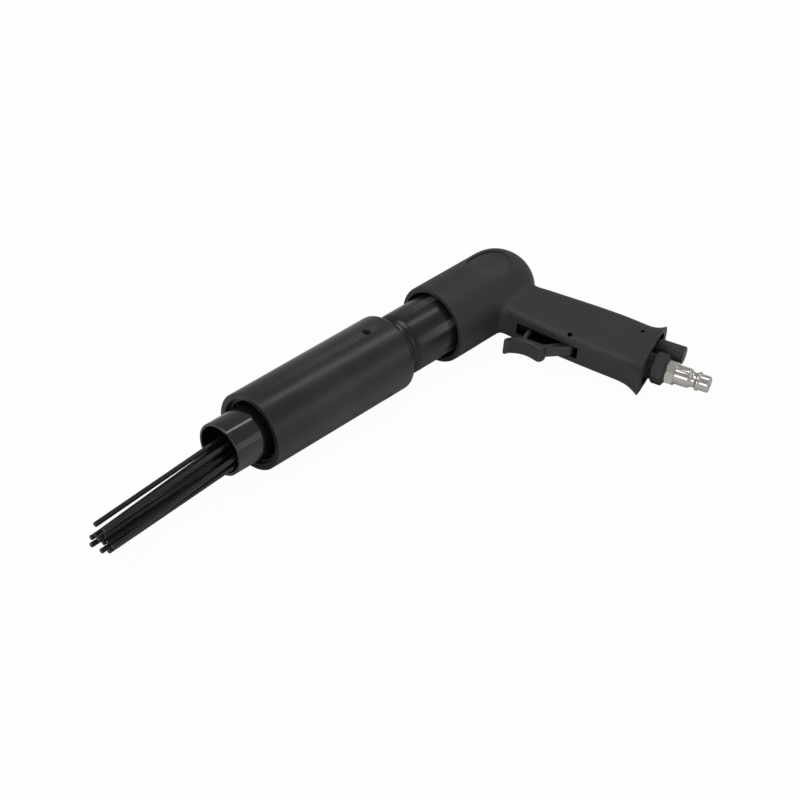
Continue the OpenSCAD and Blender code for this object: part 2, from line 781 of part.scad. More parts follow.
module trigger() {
    pad_crown = trigger_place(pad_tip - pad_tip_r, pad_top - pad_tip_r);
    pad_corner = trigger_place(pad_heel - pad_heel_r, pad_heel_rise - pad_heel_r);
    color([0.10, 0.10, 0.11])
    in_grip() difference() {
        union() {
            across_grip(arm_w) polygon(concat(
                arc_points(trigger_place(0, 0), arm_end_r, 30, 205, 12),
                [trigger_place(pad_back, pad_foot + arm_t), trigger_place(pad_heel, pad_foot + arm_t)],
                [trigger_place(pad_back + arm_root, pad_foot - arm_root)]
            ));
            across_grip(pad_w) polygon(concat(
                [trigger_place(pad_back, pad_back_low), trigger_place(pad_back, pad_back_high)],
                arc_points(pad_crown, pad_tip_r, 215, 380, 6),
                [for (place = [pad_upper, pad_waist, pad_lower]) trigger_place(place[0], place[1])],
                arc_points(pad_corner, pad_heel_r, 0, 110, 4),
                [trigger_place(pad_back, pad_foot)]
            ));
        }
        trigger_hole();
    }
}

module trigger_pin() {
    color([0.45, 0.45, 0.47])
    in_grip() translate([pivot_u, 0, pivot_w]) rotate([90, 0, 0])
        cylinder(r = trigger_pin_r, h = grip_t - 2 * trigger_pin_sink, center = true, $fn = small_fn);
}

module throttle_bush() {
    groove_r = throttle_bush_r - seal_half;
    seal_at = bush_guide_l / 2;
    color([0.13, 0.13, 0.14])
    in_grip() translate([slot_floor_u, 0, throttle_w]) rotate([0, -90, 0]) difference() {
        turned_along([
            [stem_r + run_gap, 0], [throttle_bush_r, 0],
            [throttle_bush_r, seal_at - seal_half], [groove_r, seal_at - seal_half],
            [groove_r, seal_at + seal_half], [throttle_bush_r, seal_at + seal_half],
            [throttle_bush_r, throttle_bush_l], [throttle_bush_bore_r, throttle_bush_l],
            [throttle_bush_bore_r, bush_guide_l], [stem_r + run_gap, bush_guide_l]
        ]);
        translate([0, 0, (bush_guide_l + throttle_bush_l) / 2]) rotate([0, 90, 0])
            cylinder(r = throttle_port_r, h = 2 * slot_w, center = true, $fn = small_fn);
    }
}

// Rubber ring lying in a groove of a round bar
module seal_ring(bar_r) {
    side = seal_half - run_gap;
    turned_along([[bar_r - side, -side], [bar_r, -side], [bar_r, side], [bar_r - side, side]]);
}

module throttle_bush_seal() {
    color([0.05, 0.05, 0.05])
    in_grip() translate([slot_floor_u - bush_guide_l / 2, 0, throttle_w])
        rotate([0, -90, 0]) seal_ring(throttle_bush_r);
}

module throttle_stem() {
    color([0.60, 0.60, 0.62])
    in_grip() translate([poppet_front_u, 0, throttle_w]) rotate([0, 90, 0]) turned_along(concat(
        [[0, 0], [stem_r, 0]],
        arc_points([0, stem_out_u - poppet_front_u - stem_r], stem_r, 0, 90, 6)
    ));
}

module throttle_poppet() {
    color([0.15, 0.15, 0.16])
    in_grip() translate([poppet_front_u, 0, throttle_w]) rotate([0, -90, 0]) turned_along([
        [0, 0], [poppet_r, 0], [poppet_r, poppet_l], [poppet_guide_r, poppet_l],
        [poppet_guide_r, poppet_l + poppet_guide_l], [0, poppet_l + poppet_guide_l]
    ]);
}

throttle_spring_gap =
    spring_gap(throttle_spring_r, throttle_spring_wire_d, throttle_spring_l, throttle_spring_curls);
echo(throttle_spring_gap = throttle_spring_gap);

module throttle_spring() {
    color([0.70, 0.70, 0.72])
    in_grip() translate([throttle_spring_rear_u, 0, throttle_w]) rotate([0, 90, 0])
        helix(throttle_spring_r, throttle_spring_wire_d, throttle_spring_l, throttle_spring_curls);
}

// Inlet end of the grip

module regulator_knob() {
    groove_low = regulator_pin_w - regulator_pin_r - run_gap;
    groove_high = regulator_pin_w + regulator_pin_r + run_gap;
    knob_end_w = knob_start_w + knob_l;
    tip_w = regulator_inner_w - regulator_tip_l;
    seal_r = regulator_r - seal_half;
    color([0.13, 0.13, 0.14])
    in_grip() translate([-knob_setback, 0, 0]) turned_along([
        [0, tip_w], [regulator_tip_r, tip_w],
        [regulator_tip_r, regulator_inner_w], [regulator_r, regulator_inner_w],
        [regulator_r, regulator_seal_w - seal_half], [seal_r, regulator_seal_w - seal_half],
        [seal_r, regulator_seal_w + seal_half], [regulator_r, regulator_seal_w + seal_half],
        [regulator_r, groove_low], [regulator_groove_r, groove_low],
        [regulator_groove_r, groove_high], [regulator_r, groove_high],
        [regulator_r, knob_start_w], [knob_r - edge_r, knob_start_w], [knob_r, knob_start_w + edge_r],
        [knob_r, knob_end_w - edge_r], [knob_r - edge_r, knob_end_w], [0, knob_end_w]
    ]);
}

module regulator_seal() {
    color([0.05, 0.05, 0.05])
    in_grip() translate([-knob_setback, 0, regulator_seal_w]) seal_ring(regulator_r);
}

module regulator_pin() {
    color([0.45, 0.45, 0.47])
    in_grip() translate([regulator_pin_u, 0, regulator_pin_w]) rotate([90, 0, 0])
        cylinder(r = regulator_pin_r, h = regulator_pin_l, center = true, $fn = small_fn);
}

module inlet_bush() {
    color([0.22, 0.22, 0.23])
    in_grip() difference() {
        union() {
            translate([0, 0, bush_inner_w])
                cylinder(r = bush_r, h = bush_hex_w - bush_inner_w, $fn = small_fn);
            translate([0, 0, bush_hex_w]) hex_bar(bush_flats, bush_hex_l);
        }
        translate([0, 0, thread_floor_w]) cylinder(r = plug_thread_r + run_gap, h = grip_l, $fn = small_fn);
        translate([0, 0, bush_inner_w - overrun]) cylinder(r = bush_air_r, h = grip_l, $fn = small_fn);
    }
}

module inlet_filter() {
    outer = bush_air_r - run_gap;
    rim_w = thread_floor_w - filter_t;
    color([0.75, 0.72, 0.55])
    in_grip() turned_along([
        [0, bush_inner_w], [outer, bush_inner_w], [outer, rim_w], [outer - filter_t, rim_w],
        [outer - filter_t, bush_inner_w + filter_t], [0, bush_inner_w + filter_t]
    ]);
}

module plug_washer() {
    color([0.55, 0.30, 0.16])
    in_grip() turned_along([
        [plug_thread_r + run_gap, bush_end_w], [washer_r, bush_end_w],
        [washer_r, bush_end_w + washer_t], [plug_thread_r + run_gap, bush_end_w + washer_t]
    ]);
}

module air_plug() {
    body_r = plug_body_d / 2;
    nose_r = plug_nose_d / 2;
    body_end = plug_body_w + plug_body_l;
    neck_end = body_end + plug_neck_l;
    ridge_r = body_r - plug_ridge_step;
    ridge_end = neck_end + plug_ridge_l;
    nose_end = ridge_end + plug_nose_l;
    color([0.80, 0.80, 0.80])
    in_grip() difference() {
        union() {
            translate([0, 0, plug_hex_w]) hex_bar(plug_flats, plug_hex_l);
            turned_along([
                [0, bush_end_w - plug_thread_l], [plug_thread_r, bush_end_w - plug_thread_l],
                [plug_thread_r, plug_body_w], [body_r, plug_body_w], [body_r, body_end - plug_bevel],
                [body_r - plug_bevel, body_end], [plug_neck_r, body_end + plug_bevel],
                [plug_neck_r, neck_end - plug_bevel], [ridge_r, neck_end],
                [ridge_r, ridge_end - plug_bevel], [nose_r, ridge_end],
                [nose_r, nose_end - plug_bevel], [nose_r - plug_bevel, nose_end], [0, nose_end]
            ]);
        }
        translate([0, 0, bush_inner_w]) cylinder(d = plug_bore_d, h = grip_l, $fn = small_fn);
    }
}

housing();
cylinder_liner();  // cylinder
sleeve();
lock_screw(0);  // lock_screw_1
lock_screw(1);  // lock_screw_2
lock_screw(2);  // lock_screw_3
spring_retaining_ring();
return_spring();
needle_holder();
needle_tube();
anvil();
piston();
valve_seat();
valve_disc();
valve_cap();
needle(0);  // needle_01
needle(1);  // needle_02
needle(2);  // needle_03
needle(3);  // needle_04
needle(4);  // needle_05
needle(5);  // needle_06
needle(6);  // needle_07
needle(7);  // needle_08
needle(8);  // needle_09
needle(9);  // needle_10
needle(10);  // needle_11
needle(11);  // needle_12
trigger();
trigger_pin();
throttle_bush();
throttle_bush_seal();
throttle_stem();
throttle_poppet();
throttle_spring();
regulator_knob();
regulator_seal();
regulator_pin();
inlet_bush();
inlet_filter();
plug_washer();
air_plug();
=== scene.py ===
# %% [markdown]
# # A needle scaler with a pistol grip
# The tool lies on its side on a white table. The CAD model gives every piece its place and size.
# This lesson dresses it: each shown piece is modelled again with fine edges, and each finish is built
# from shader nodes. We first load the frame and keep its box, so that we can compare sizes at the end.

# %% Load the frame
import json
import math

import bmesh
import bpy
from mathutils import Matrix, Vector


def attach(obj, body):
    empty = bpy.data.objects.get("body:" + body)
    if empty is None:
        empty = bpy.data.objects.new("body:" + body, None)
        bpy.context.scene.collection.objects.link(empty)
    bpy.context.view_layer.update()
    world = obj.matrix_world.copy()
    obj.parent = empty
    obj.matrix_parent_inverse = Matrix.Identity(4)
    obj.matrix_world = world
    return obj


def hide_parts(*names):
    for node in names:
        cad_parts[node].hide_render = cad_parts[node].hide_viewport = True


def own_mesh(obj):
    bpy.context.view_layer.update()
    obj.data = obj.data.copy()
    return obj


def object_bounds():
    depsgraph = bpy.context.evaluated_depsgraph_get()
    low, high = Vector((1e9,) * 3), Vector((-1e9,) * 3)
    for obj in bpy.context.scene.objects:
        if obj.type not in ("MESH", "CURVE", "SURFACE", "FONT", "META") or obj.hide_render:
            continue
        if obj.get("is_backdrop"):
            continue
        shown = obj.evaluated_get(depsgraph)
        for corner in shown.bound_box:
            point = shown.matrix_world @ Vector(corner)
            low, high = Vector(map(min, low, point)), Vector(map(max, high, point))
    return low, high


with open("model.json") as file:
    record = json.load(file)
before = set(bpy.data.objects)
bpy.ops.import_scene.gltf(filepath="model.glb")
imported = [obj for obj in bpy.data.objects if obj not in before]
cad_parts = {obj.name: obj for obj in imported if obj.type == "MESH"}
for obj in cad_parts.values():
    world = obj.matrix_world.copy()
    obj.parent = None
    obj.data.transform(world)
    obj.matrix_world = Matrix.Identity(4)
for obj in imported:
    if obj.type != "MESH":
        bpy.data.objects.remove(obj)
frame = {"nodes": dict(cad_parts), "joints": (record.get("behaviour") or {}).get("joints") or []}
cad_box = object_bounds()
scene = bpy.context.scene
scene.view_settings.view_transform = "Standard"

# %% [markdown]
# ## Two places to work in
# Pieces are drawn in millimetres, each in the easiest place: barrel pieces are turned about +Z and laid
# along +X, grip pieces are drawn with +X forward and +Z down the grip. The tool rolls a little
# where it lies, so the grip's place has that roll in it.

# %% Places
MILLI = Matrix.Scale(0.001, 4)
QUARTER = math.radians(90)
BARREL = MILLI @ Matrix.Rotation(QUARTER, 4, "Y")
ROLL = math.radians(6.10586)
RAKE = math.radians(19.4)
GRIP_X = -182.8
LAID = MILLI @ Matrix.Rotation(-ROLL, 4, "X")
GRIP = (LAID @ Matrix.Translation((GRIP_X, 0, 0)) @ Matrix.Rotation(RAKE, 4, "Z")
        @ Matrix.Rotation(-QUARTER, 4, "X"))
print("grip runs along", [round(v, 3) for v in (GRIP.to_3x3() @ Vector((0, 0, 1000)))])

# %% [markdown]
# ## The camera
# The photograph was taken from in front, beside and above, with a long lens. A camera looks along its own
# -Z, so its matrix holds the right, the up and the backward direction as columns.

# %% Camera
CAMERA_AT = (0.6896, 0.7723, 0.7524)
right = Vector((-0.6888, 0.7249, 0.0))
up = Vector((-0.4187, -0.3979, 0.8163))
back = Vector((0.5918, 0.5623, 0.5776))
lens = bpy.data.cameras.new("photo_camera")
lens.lens = 101.93
lens.sensor_width = 36
lens.clip_start = 0.01
lens.clip_end = 100
camera = bpy.data.objects.new("photo_camera", lens)
turn = Matrix((right, up, back)).transposed().to_4x4()
camera.matrix_world = Matrix.Translation(CAMERA_AT) @ turn
scene.collection.objects.link(camera)
scene.camera = camera
print("camera at", [round(v, 3) for v in camera.location])

# %% [markdown]
# ## Shared effects for the finishes
# Black finishes differ mostly in how they scatter light: cast grain, turning lines, smudges, and bright worn
# edges. Each effect is a node group, so that every finish can use it with its own values.
# The first helper makes an empty group with named sockets.

# %% Node helpers
def new_group(name, inputs, outputs):
    group = bpy.data.node_groups.new(name, "ShaderNodeTree")
    for label, kind, value in inputs:
        socket = group.interface.new_socket(label, in_out="INPUT", socket_type=kind)
        socket.default_value = value
    for label, kind in outputs:
        group.interface.new_socket(label, in_out="OUTPUT", socket_type=kind)
    return group, group.nodes.new("NodeGroupInput"), group.nodes.new("NodeGroupOutput")


def add(tree, kind, **settings):
    node = tree.nodes.new(kind)
    for key, value in settings.items():
        setattr(node, key, value)
    return node


def math_node(tree, operation, a, b=None, clamp=False):
    node = add(tree, "ShaderNodeMath", operation=operation, use_clamp=clamp)
    for socket, value in zip(node.inputs, (a, b)):
        if value is None:
            continue
        if isinstance(value, (int, float)):
            socket.default_value = value
        else:
            tree.links.new(value, socket)
    return node.outputs[0]


# %% [markdown]
# Cast grain: fine noise for the bump, and slower noise that makes the colour and the gloss a little uneven.

# %% Grain group
FLOAT, VECTOR = "NodeSocketFloat", "NodeSocketVector"
grain, g_in, g_out = new_group(
    "cast_grain",
    [("Vector", VECTOR, (0, 0, 0)), ("Fine", FLOAT, 1800.0), ("Broad", FLOAT, 60.0)],
    [("Height", FLOAT), ("Patches", FLOAT)])
fine = add(grain, "ShaderNodeTexNoise")
fine.inputs["Detail"].default_value = 3
broad = add(grain, "ShaderNodeTexNoise")
broad.inputs["Detail"].default_value = 4
for node, label in ((fine, "Fine"), (broad, "Broad")):
    grain.links.new(g_in.outputs["Vector"], node.inputs["Vector"])
    grain.links.new(g_in.outputs[label], node.inputs["Scale"])
grain.links.new(fine.outputs["Fac"], g_out.inputs["Height"])
grain.links.new(broad.outputs["Fac"], g_out.inputs["Patches"])
print("group", grain.name)

# %% [markdown]
# Turning lines: a cutting tool leaves rings around the work. They vary along the axis only, so the noise
# gets the distance along the axis as its first coordinate, and the other two stay at zero.

# %% Turning group
turning, t_in, t_out = new_group(
    "turning_lines",
    [("Along", FLOAT, 0.0), ("Lines", FLOAT, 2500.0)],
    [("Height", FLOAT)])
joined = add(turning, "ShaderNodeCombineXYZ")
spread_out = math_node(turning, "MULTIPLY", t_in.outputs["Along"], t_in.outputs["Lines"])
turning.links.new(spread_out, joined.inputs["X"])
rings = add(turning, "ShaderNodeTexNoise")
rings.inputs["Scale"].default_value = 1.0
rings.inputs["Detail"].default_value = 2
turning.links.new(joined.outputs["Vector"], rings.inputs["Vector"])
turning.links.new(rings.outputs["Fac"], t_out.inputs["Height"])
print("group", turning.name)

# %% [markdown]
# Worn edges: each piece carries an attribute that is high on its edges. Noise breaks it up, so that
# the bare metal shows only here and there. On the casting the lighter edges are also a painted highlight,
# the light line that a rounded edge would catch.

# %% Wear group
wear_and_highlight, w_in, w_out = new_group(
    "edge_wear_and_highlight",
    [("Vector", VECTOR, (0, 0, 0)), ("Amount", FLOAT, 0.5), ("Scale", FLOAT, 500.0)],
    [("Mask", FLOAT)])
edge = add(wear_and_highlight, "ShaderNodeAttribute", attribute_name="edge")
chips = add(wear_and_highlight, "ShaderNodeTexNoise")
chips.inputs["Detail"].default_value = 5
wear_and_highlight.links.new(w_in.outputs["Vector"], chips.inputs["Vector"])
wear_and_highlight.links.new(w_in.outputs["Scale"], chips.inputs["Scale"])
broken = math_node(wear_and_highlight, "MULTIPLY", edge.outputs["Fac"], chips.outputs["Fac"])
worn_share = math_node(wear_and_highlight, "MULTIPLY", broken, w_in.outputs["Amount"], clamp=True)
wear_and_highlight.links.new(worn_share, w_out.inputs["Mask"])
print("group", wear_and_highlight.name)

# %% [markdown]
# Line band: the sleeve has a zone of fine lines along its length, where it was clamped and brushed. The
# angle around the axis makes the lines, and two ramps along the axis fade them out: steeply at the rear,
# slowly in front.

# %% Line band group
STEEP_FADE, SLOW_FADE = 1500.0, 90.0
band, b_in, b_out = new_group(
    "line_band",
    [("Vector", VECTOR, (0, 0, 0)), ("Rear", FLOAT, -0.062), ("Front", FLOAT, -0.028),
     ("Lines", FLOAT, 150.0)],
    [("Height", FLOAT), ("Mask", FLOAT)])
split = add(band, "ShaderNodeSeparateXYZ")
band.links.new(b_in.outputs["Vector"], split.inputs["Vector"])
turned = math_node(band, "ARCTAN2", split.outputs["Z"], split.outputs["Y"])
waves = math_node(band, "SINE", math_node(band, "MULTIPLY", turned, b_in.outputs["Lines"]))
behind = math_node(band, "SUBTRACT", split.outputs["X"], b_in.outputs["Rear"])
before = math_node(band, "SUBTRACT", b_in.outputs["Front"], split.outputs["X"])
sharp_end = math_node(band, "MULTIPLY", behind, STEEP_FADE, clamp=True)
soft_end = math_node(band, "MULTIPLY", before, SLOW_FADE, clamp=True)
masked = math_node(band, "MULTIPLY", sharp_end, soft_end)
band.links.new(masked, b_out.inputs["Mask"])
band.links.new(math_node(band, "MULTIPLY", waves, masked), b_out.inputs["Height"])
print("group", band.name)

# %% [markdown]
# ## One recipe for all finishes
# A finish is a Principled shader with a base colour that is mixed towards a worn colour on the edges, a
# roughness that wanders a little, and a bump from grain or turning lines. The recipe takes these as values
# and returns the nodes that a finish may change afterwards.

# %% Finish recipe
def finish(name, colour, rough, metallic=0.0, worn=(0.25, 0.25, 0.26), wear_amount=0.6, wear_scale=500.0,
           grain_fine=1800.0, grain_broad=60.0, bump=0.15, depth=0.0001, spread=0.08, shade=0.12,
           coat=0.0, coat_rough=0.1, specular=0.5):
    material = bpy.data.materials.new(name)
    material.use_nodes = True
    tree = material.node_tree
    shader = tree.nodes["Principled BSDF"]
    place = add(tree, "ShaderNodeTexCoord").outputs["Object"]
    cast = add(tree, "ShaderNodeGroup", node_tree=grain)
    cast.inputs["Fine"].default_value = grain_fine
    cast.inputs["Broad"].default_value = grain_broad
    edges = add(tree, "ShaderNodeGroup", node_tree=wear_and_highlight)
    edges.inputs["Amount"].default_value = wear_amount
    edges.inputs["Scale"].default_value = wear_scale
    for node in (cast, edges):
        tree.links.new(place, node.inputs["Vector"])
    tint = add(tree, "ShaderNodeMix", data_type="RGBA")
    tint.inputs["A"].default_value = (*[c * (1 - shade) for c in colour], 1)
    tint.inputs["B"].default_value = (*[c * (1 + shade) for c in colour], 1)
    tree.links.new(cast.outputs["Patches"], tint.inputs["Factor"])
    bare = add(tree, "ShaderNodeMix", data_type="RGBA")
    bare.inputs["B"].default_value = (*worn, 1)
    tree.links.new(tint.outputs["Result"], bare.inputs["A"])
    tree.links.new(edges.outputs["Mask"], bare.inputs["Factor"])
    tree.links.new(bare.outputs["Result"], shader.inputs["Base Color"])
    patches = add(tree, "ShaderNodeMapRange")
    patches.inputs["To Min"].default_value = max(rough - spread, 0.02)
    patches.inputs["To Max"].default_value = min(rough + spread, 1.0)
    tree.links.new(cast.outputs["Patches"], patches.inputs["Value"])
    tree.links.new(patches.outputs["Result"], shader.inputs["Roughness"])
    relief = add(tree, "ShaderNodeBump")
    relief.inputs["Strength"].default_value = bump
    relief.inputs["Distance"].default_value = depth
    tree.links.new(cast.outputs["Height"], relief.inputs["Height"])
    tree.links.new(relief.outputs["Normal"], shader.inputs["Normal"])
    shader.inputs["Metallic"].default_value = metallic
    shader.inputs["Specular IOR Level"].default_value = specular
    shader.inputs["Coat Weight"].default_value = coat
    shader.inputs["Coat Roughness"].default_value = coat_rough
    return {"material": material, "tree": tree, "place": place, "cast": cast, "relief": relief,
            "tint": tint, "bare": bare}


# %% [markdown]
# The turned pieces add ring lines to their bump. The distance along the piece's own axis comes from the dot
# product of the place with that axis, which also works for a piece that lies aslant.

# %% Turning lines on a finish
def add_turning(made, axis, lines=2500.0, share=0.6):
    tree = made["tree"]
    along = add(tree, "ShaderNodeVectorMath", operation="DOT_PRODUCT")
    along.inputs[1].default_value = axis
    tree.links.new(made["place"], along.inputs[0])
    cut = add(tree, "ShaderNodeGroup", node_tree=turning)
    cut.inputs["Lines"].default_value = lines
    tree.links.new(along.outputs["Value"], cut.inputs["Along"])
    both = add(tree, "ShaderNodeMix", data_type="FLOAT")
    both.inputs["Factor"].default_value = share
    tree.links.new(made["cast"].outputs["Height"], both.inputs["A"])
    tree.links.new(cut.outputs["Height"], both.inputs["B"])
    tree.links.new(both.outputs["Result"], made["relief"].inputs["Height"])
    return made


# %% [markdown]
# ## The finishes
# The housing is a matt charcoal casting. The sleeve is satin black, the cylinder is blacked steel with some
# gloss, the needle tube is almost a mirror in black, and only the hose plug is bright.

# %% Finishes
GRIP_WAY = tuple(v * 1000 for v in (GRIP.to_3x3() @ Vector((0, 0, 1))))
BARREL_WAY = (1, 0, 0)
# The casting's lighter edge colour is partly wear and partly a painted highlight along its sharp edges.
casting = finish("charcoal_casting", (0.026, 0.0262, 0.0275), 0.55, worn=(0.07, 0.07, 0.073),
                 wear_amount=0.5, grain_fine=1500, grain_broad=45, bump=0.20, depth=0.0002, specular=0.42)
satin = finish("satin_black", (0.012, 0.0118, 0.0115), 0.31, worn=(0.10, 0.10, 0.10), wear_amount=0.7,
               grain_fine=2600, grain_broad=50, bump=0.06, spread=0.09, shade=0.3)
blacked = finish("blacked_steel", (0.012, 0.012, 0.013), 0.27, metallic=0.2, bump=0.08, grain_broad=40,
                 spread=0.08, shade=0.3)
gloss = finish("gloss_black", (0.006, 0.006, 0.0065), 0.14, bump=0.03, grain_broad=70, spread=0.05,
               worn=(0.08, 0.08, 0.08), coat=0.5, coat_rough=0.07)
drawn = finish("drawn_needle", (0.010, 0.010, 0.011), 0.18, metallic=0.1, grain_fine=300, grain_broad=90,
               bump=0.01, spread=0.06, shade=0.3, wear_amount=0.0)
coil = finish("oiled_spring", (0.03, 0.03, 0.032), 0.30, metallic=0.7, grain_broad=200, spread=0.10)
lacquer = finish("trigger_black", (0.016, 0.016, 0.017), 0.33, grain_fine=1600, bump=0.10, spread=0.07,
                 worn=(0.09, 0.09, 0.09), wear_amount=0.6)
oxide = finish("oxide_bush", (0.010, 0.010, 0.0105), 0.48, grain_fine=1400, grain_broad=260, specular=0.4,
               worn=(0.16, 0.16, 0.16), wear_amount=0.2, wear_scale=700, bump=0.15, spread=0.12, shade=0.3)
knurled = finish("knurled_oxide", (0.018, 0.018, 0.0185), 0.42, grain_fine=1400, grain_broad=200,
                 worn=(0.10, 0.10, 0.10), wear_amount=0.8, bump=0.12, spread=0.10)
# Near-black finish for the inside of the bores, the trigger slot and the end recess, and for the throttle
# bush: painted shade where little light reaches.
bore_shade = finish("bore_painted_shade", (0.004, 0.004, 0.004), 0.7, grain_fine=1600, grain_broad=120, bump=0.15,
               wear_amount=0.0, specular=0.15)
nickel = finish("bright_nickel", (0.62, 0.60, 0.57), 0.12, metallic=1.0, grain_broad=300, bump=0.05,
                spread=0.06, shade=0.05, worn=(0.74, 0.69, 0.62), wear_amount=0.6)
ground = finish("ground_steel", (0.50, 0.50, 0.52), 0.26, metallic=1.0, grain_broad=150, bump=0.08,
                shade=0.06)
hardened = finish("hardened_steel", (0.10, 0.10, 0.104), 0.42, metallic=0.4, grain_broad=120, bump=0.10)
brass = finish("turned_brass", (0.60, 0.45, 0.19), 0.28, metallic=1.0, grain_broad=160, bump=0.08,
               shade=0.08)
rubber = finish("seal_rubber", (0.012, 0.012, 0.012), 0.72, grain_fine=2400, bump=0.2, shade=0.2)
fibre = finish("fibre_washer", (0.05, 0.046, 0.044), 0.70, grain_fine=1700, grain_broad=400, bump=0.25,
               shade=0.3)
for made, way, lines, share in ((blacked, BARREL_WAY, 1800, 0.7), (gloss, BARREL_WAY, 1500, 0.5),
                                (nickel, GRIP_WAY, 2200, 0.7)):
    add_turning(made, way, lines, share)
print("finishes", len(bpy.data.materials))

# %% [markdown]
# The sleeve's satin black also takes the line band: the lines go into its bump, and the zone is a little
# browner than the rest.

# %% Lines on the sleeve
LINE_SHARE, BROWN_SHARE = 0.5, 0.6
tree = satin["tree"]
zone = add(tree, "ShaderNodeGroup", node_tree=band)
tree.links.new(satin["place"], zone.inputs["Vector"])
lined = add(tree, "ShaderNodeMix", data_type="FLOAT")
lined.inputs["Factor"].default_value = LINE_SHARE
tree.links.new(satin["cast"].outputs["Height"], lined.inputs["A"])
tree.links.new(zone.outputs["Height"], lined.inputs["B"])
tree.links.new(lined.outputs["Result"], satin["relief"].inputs["Height"])
brown = add(tree, "ShaderNodeMix", data_type="RGBA")
brown.inputs["B"].default_value = (0.022, 0.0205, 0.018, 1)
tree.links.new(math_node(tree, "MULTIPLY", zone.outputs["Mask"], BROWN_SHARE), brown.inputs["Factor"])
tree.links.new(satin["tint"].outputs["Result"], brown.inputs["A"])
tree.links.new(brown.outputs["Result"], satin["bare"].inputs["A"])
print("lines on", satin["material"].name)

# %% [markdown]
# ## Making a piece
# A piece ends the same way each time: doubles are merged, faces point outwards, the mesh goes to its place,
# flat and round faces are told apart by the angle between them, and the edges get their wear value, which
# on the casting also paints a highlight.
# Then the piece rides on its body and stands for its CAD node.

# %% Piece helpers
SHARP = 34
WEAR_FROM, WEAR_SPAN = 0.25, 0.6


def dress(bm, sharp):
    layer = bm.verts.layers.float.get("edge") or bm.verts.layers.float.new("edge")
    for v in bm.verts:
        v[layer] = 0.0
    for face in bm.faces:
        face.smooth = True
    for e in bm.edges:
        angle = e.calc_face_angle(0.0)
        e.smooth = angle < math.radians(sharp)
        value = min(max((angle - WEAR_FROM) / WEAR_SPAN, 0.0), 1.0)
        for v in e.verts:
            v[layer] = max(v[layer], value)


def to_object(bm, name, place):
    bmesh.ops.remove_doubles(bm, verts=bm.verts, dist=1e-4)
    bmesh.ops.recalc_face_normals(bm, faces=bm.faces)
    bm.transform(place)
    mesh = bpy.data.meshes.new(name)
    bm.to_mesh(mesh)
    bm.free()
    piece = bpy.data.objects.new(name, mesh)
    scene.collection.objects.link(piece)
    return piece


def settle(piece):
    bpy.context.view_layer.update()
    plain = piece.data
    shaped = piece.evaluated_get(bpy.context.evaluated_depsgraph_get())
    piece.data = bpy.data.meshes.new_from_object(shaped)
    piece.modifiers.clear()
    bpy.data.meshes.remove(plain)


def carve(piece, operation, *others):
    for other in others:
        step = piece.modifiers.new("shape", "BOOLEAN")
        step.operation, step.solver, step.object = operation, "EXACT", other
        settle(piece)
        bpy.data.objects.remove(other)


def seat(piece, body, slot, look, *nodes, sharp=SHARP):
    bm = bmesh.new()
    bm.from_mesh(piece.data)
    dress(bm, sharp)
    bm.to_mesh(piece.data)
    bm.free()
    if not piece.data.materials:
        piece.data.materials.append(look["material"])
    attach(piece, body)
    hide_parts(*nodes)
    print(piece.name, len(piece.data.polygons), "faces")
    return piece


# %% [markdown]
# Most barrel pieces are turned, so the main tool is a lathe: a profile of a few corners is bevelled where it
# has an edge, and then spun around the axis. Corners are given as (radius, place, rounding).

# %% Lathe
def lathe(profile, steps=96, closed=True, angle=360):
    bm = bmesh.new()
    corners = [bm.verts.new((r, 0, z)) for r, z, _ in profile]
    count = len(corners)
    for i in range(count if closed else count - 1):
        bm.edges.new((corners[i], corners[(i + 1) % count]))
    for corner, (_, _, rounding) in zip(corners, profile):
        if rounding:
            bmesh.ops.bevel(bm, geom=[corner], offset=rounding, segments=4 + round(rounding), profile=0.5,
                            affect="VERTICES", material=-1)
    full = angle == 360
    bmesh.ops.spin(bm, geom=bm.verts[:] + bm.edges[:], cent=(0, 0, 0), axis=(0, 0, 1),
                   angle=math.radians(angle), steps=steps, use_merge=full)
    return bm


def bar(radius, start, end, steps=48):
    return lathe([(0, start, 0), (radius, start, 0), (radius, end, 0), (0, end, 0)], steps, closed=False)


# %% [markdown]
# ## The sleeve
# The large plain tube that the front hand holds. Its rear edge is well rounded, its mouth has a thin
# bevel, and a groove inside holds the snap ring. Three screw holes are cut across the wall near the rear
# end.

# %% Sleeve
SLEEVE_R, SLEEVE_L, BORE_R = 24.0, 112.0, 20.3
GROOVE_R, GROOVE_FRONT, GROOVE_REAR = 21.25, -2.95, -4.45
sleeve = to_object(lathe([
    (BORE_R, -SLEEVE_L, 0.5), (SLEEVE_R, -SLEEVE_L, 3.0), (SLEEVE_R, 0, 0.5), (BORE_R, 0, 0.6),
    (BORE_R, GROOVE_FRONT, 0), (GROOVE_R, GROOVE_FRONT, 0), (GROOVE_R, GROOVE_REAR, 0),
    (BORE_R, GROOVE_REAR, 0)], 160), "sleeve_tube", BARREL)
SCREW_X, SCREW_TURNS = -93.0, [4.5, 124.5, 244.5]
SCREW_HOLE_R = 2.55


def across_barrel(turn):
    return MILLI @ Matrix.Rotation(math.radians(-turn), 4, "X") @ Matrix.Translation((SCREW_X, 0, 0))


drills = [to_object(bar(SCREW_HOLE_R, 18, 30), "drill", across_barrel(t)) for t in SCREW_TURNS]
carve(sleeve, "DIFFERENCE", *drills)
seat(sleeve, "frame", "sleeve", satin, "sleeve")

# %% [markdown]
# ## The lock screws
# Short screws without a head, sunk in those holes, each with a six-sided socket. The socket is a
# six-sided bar that is taken out of a turned body with a chamfered top.

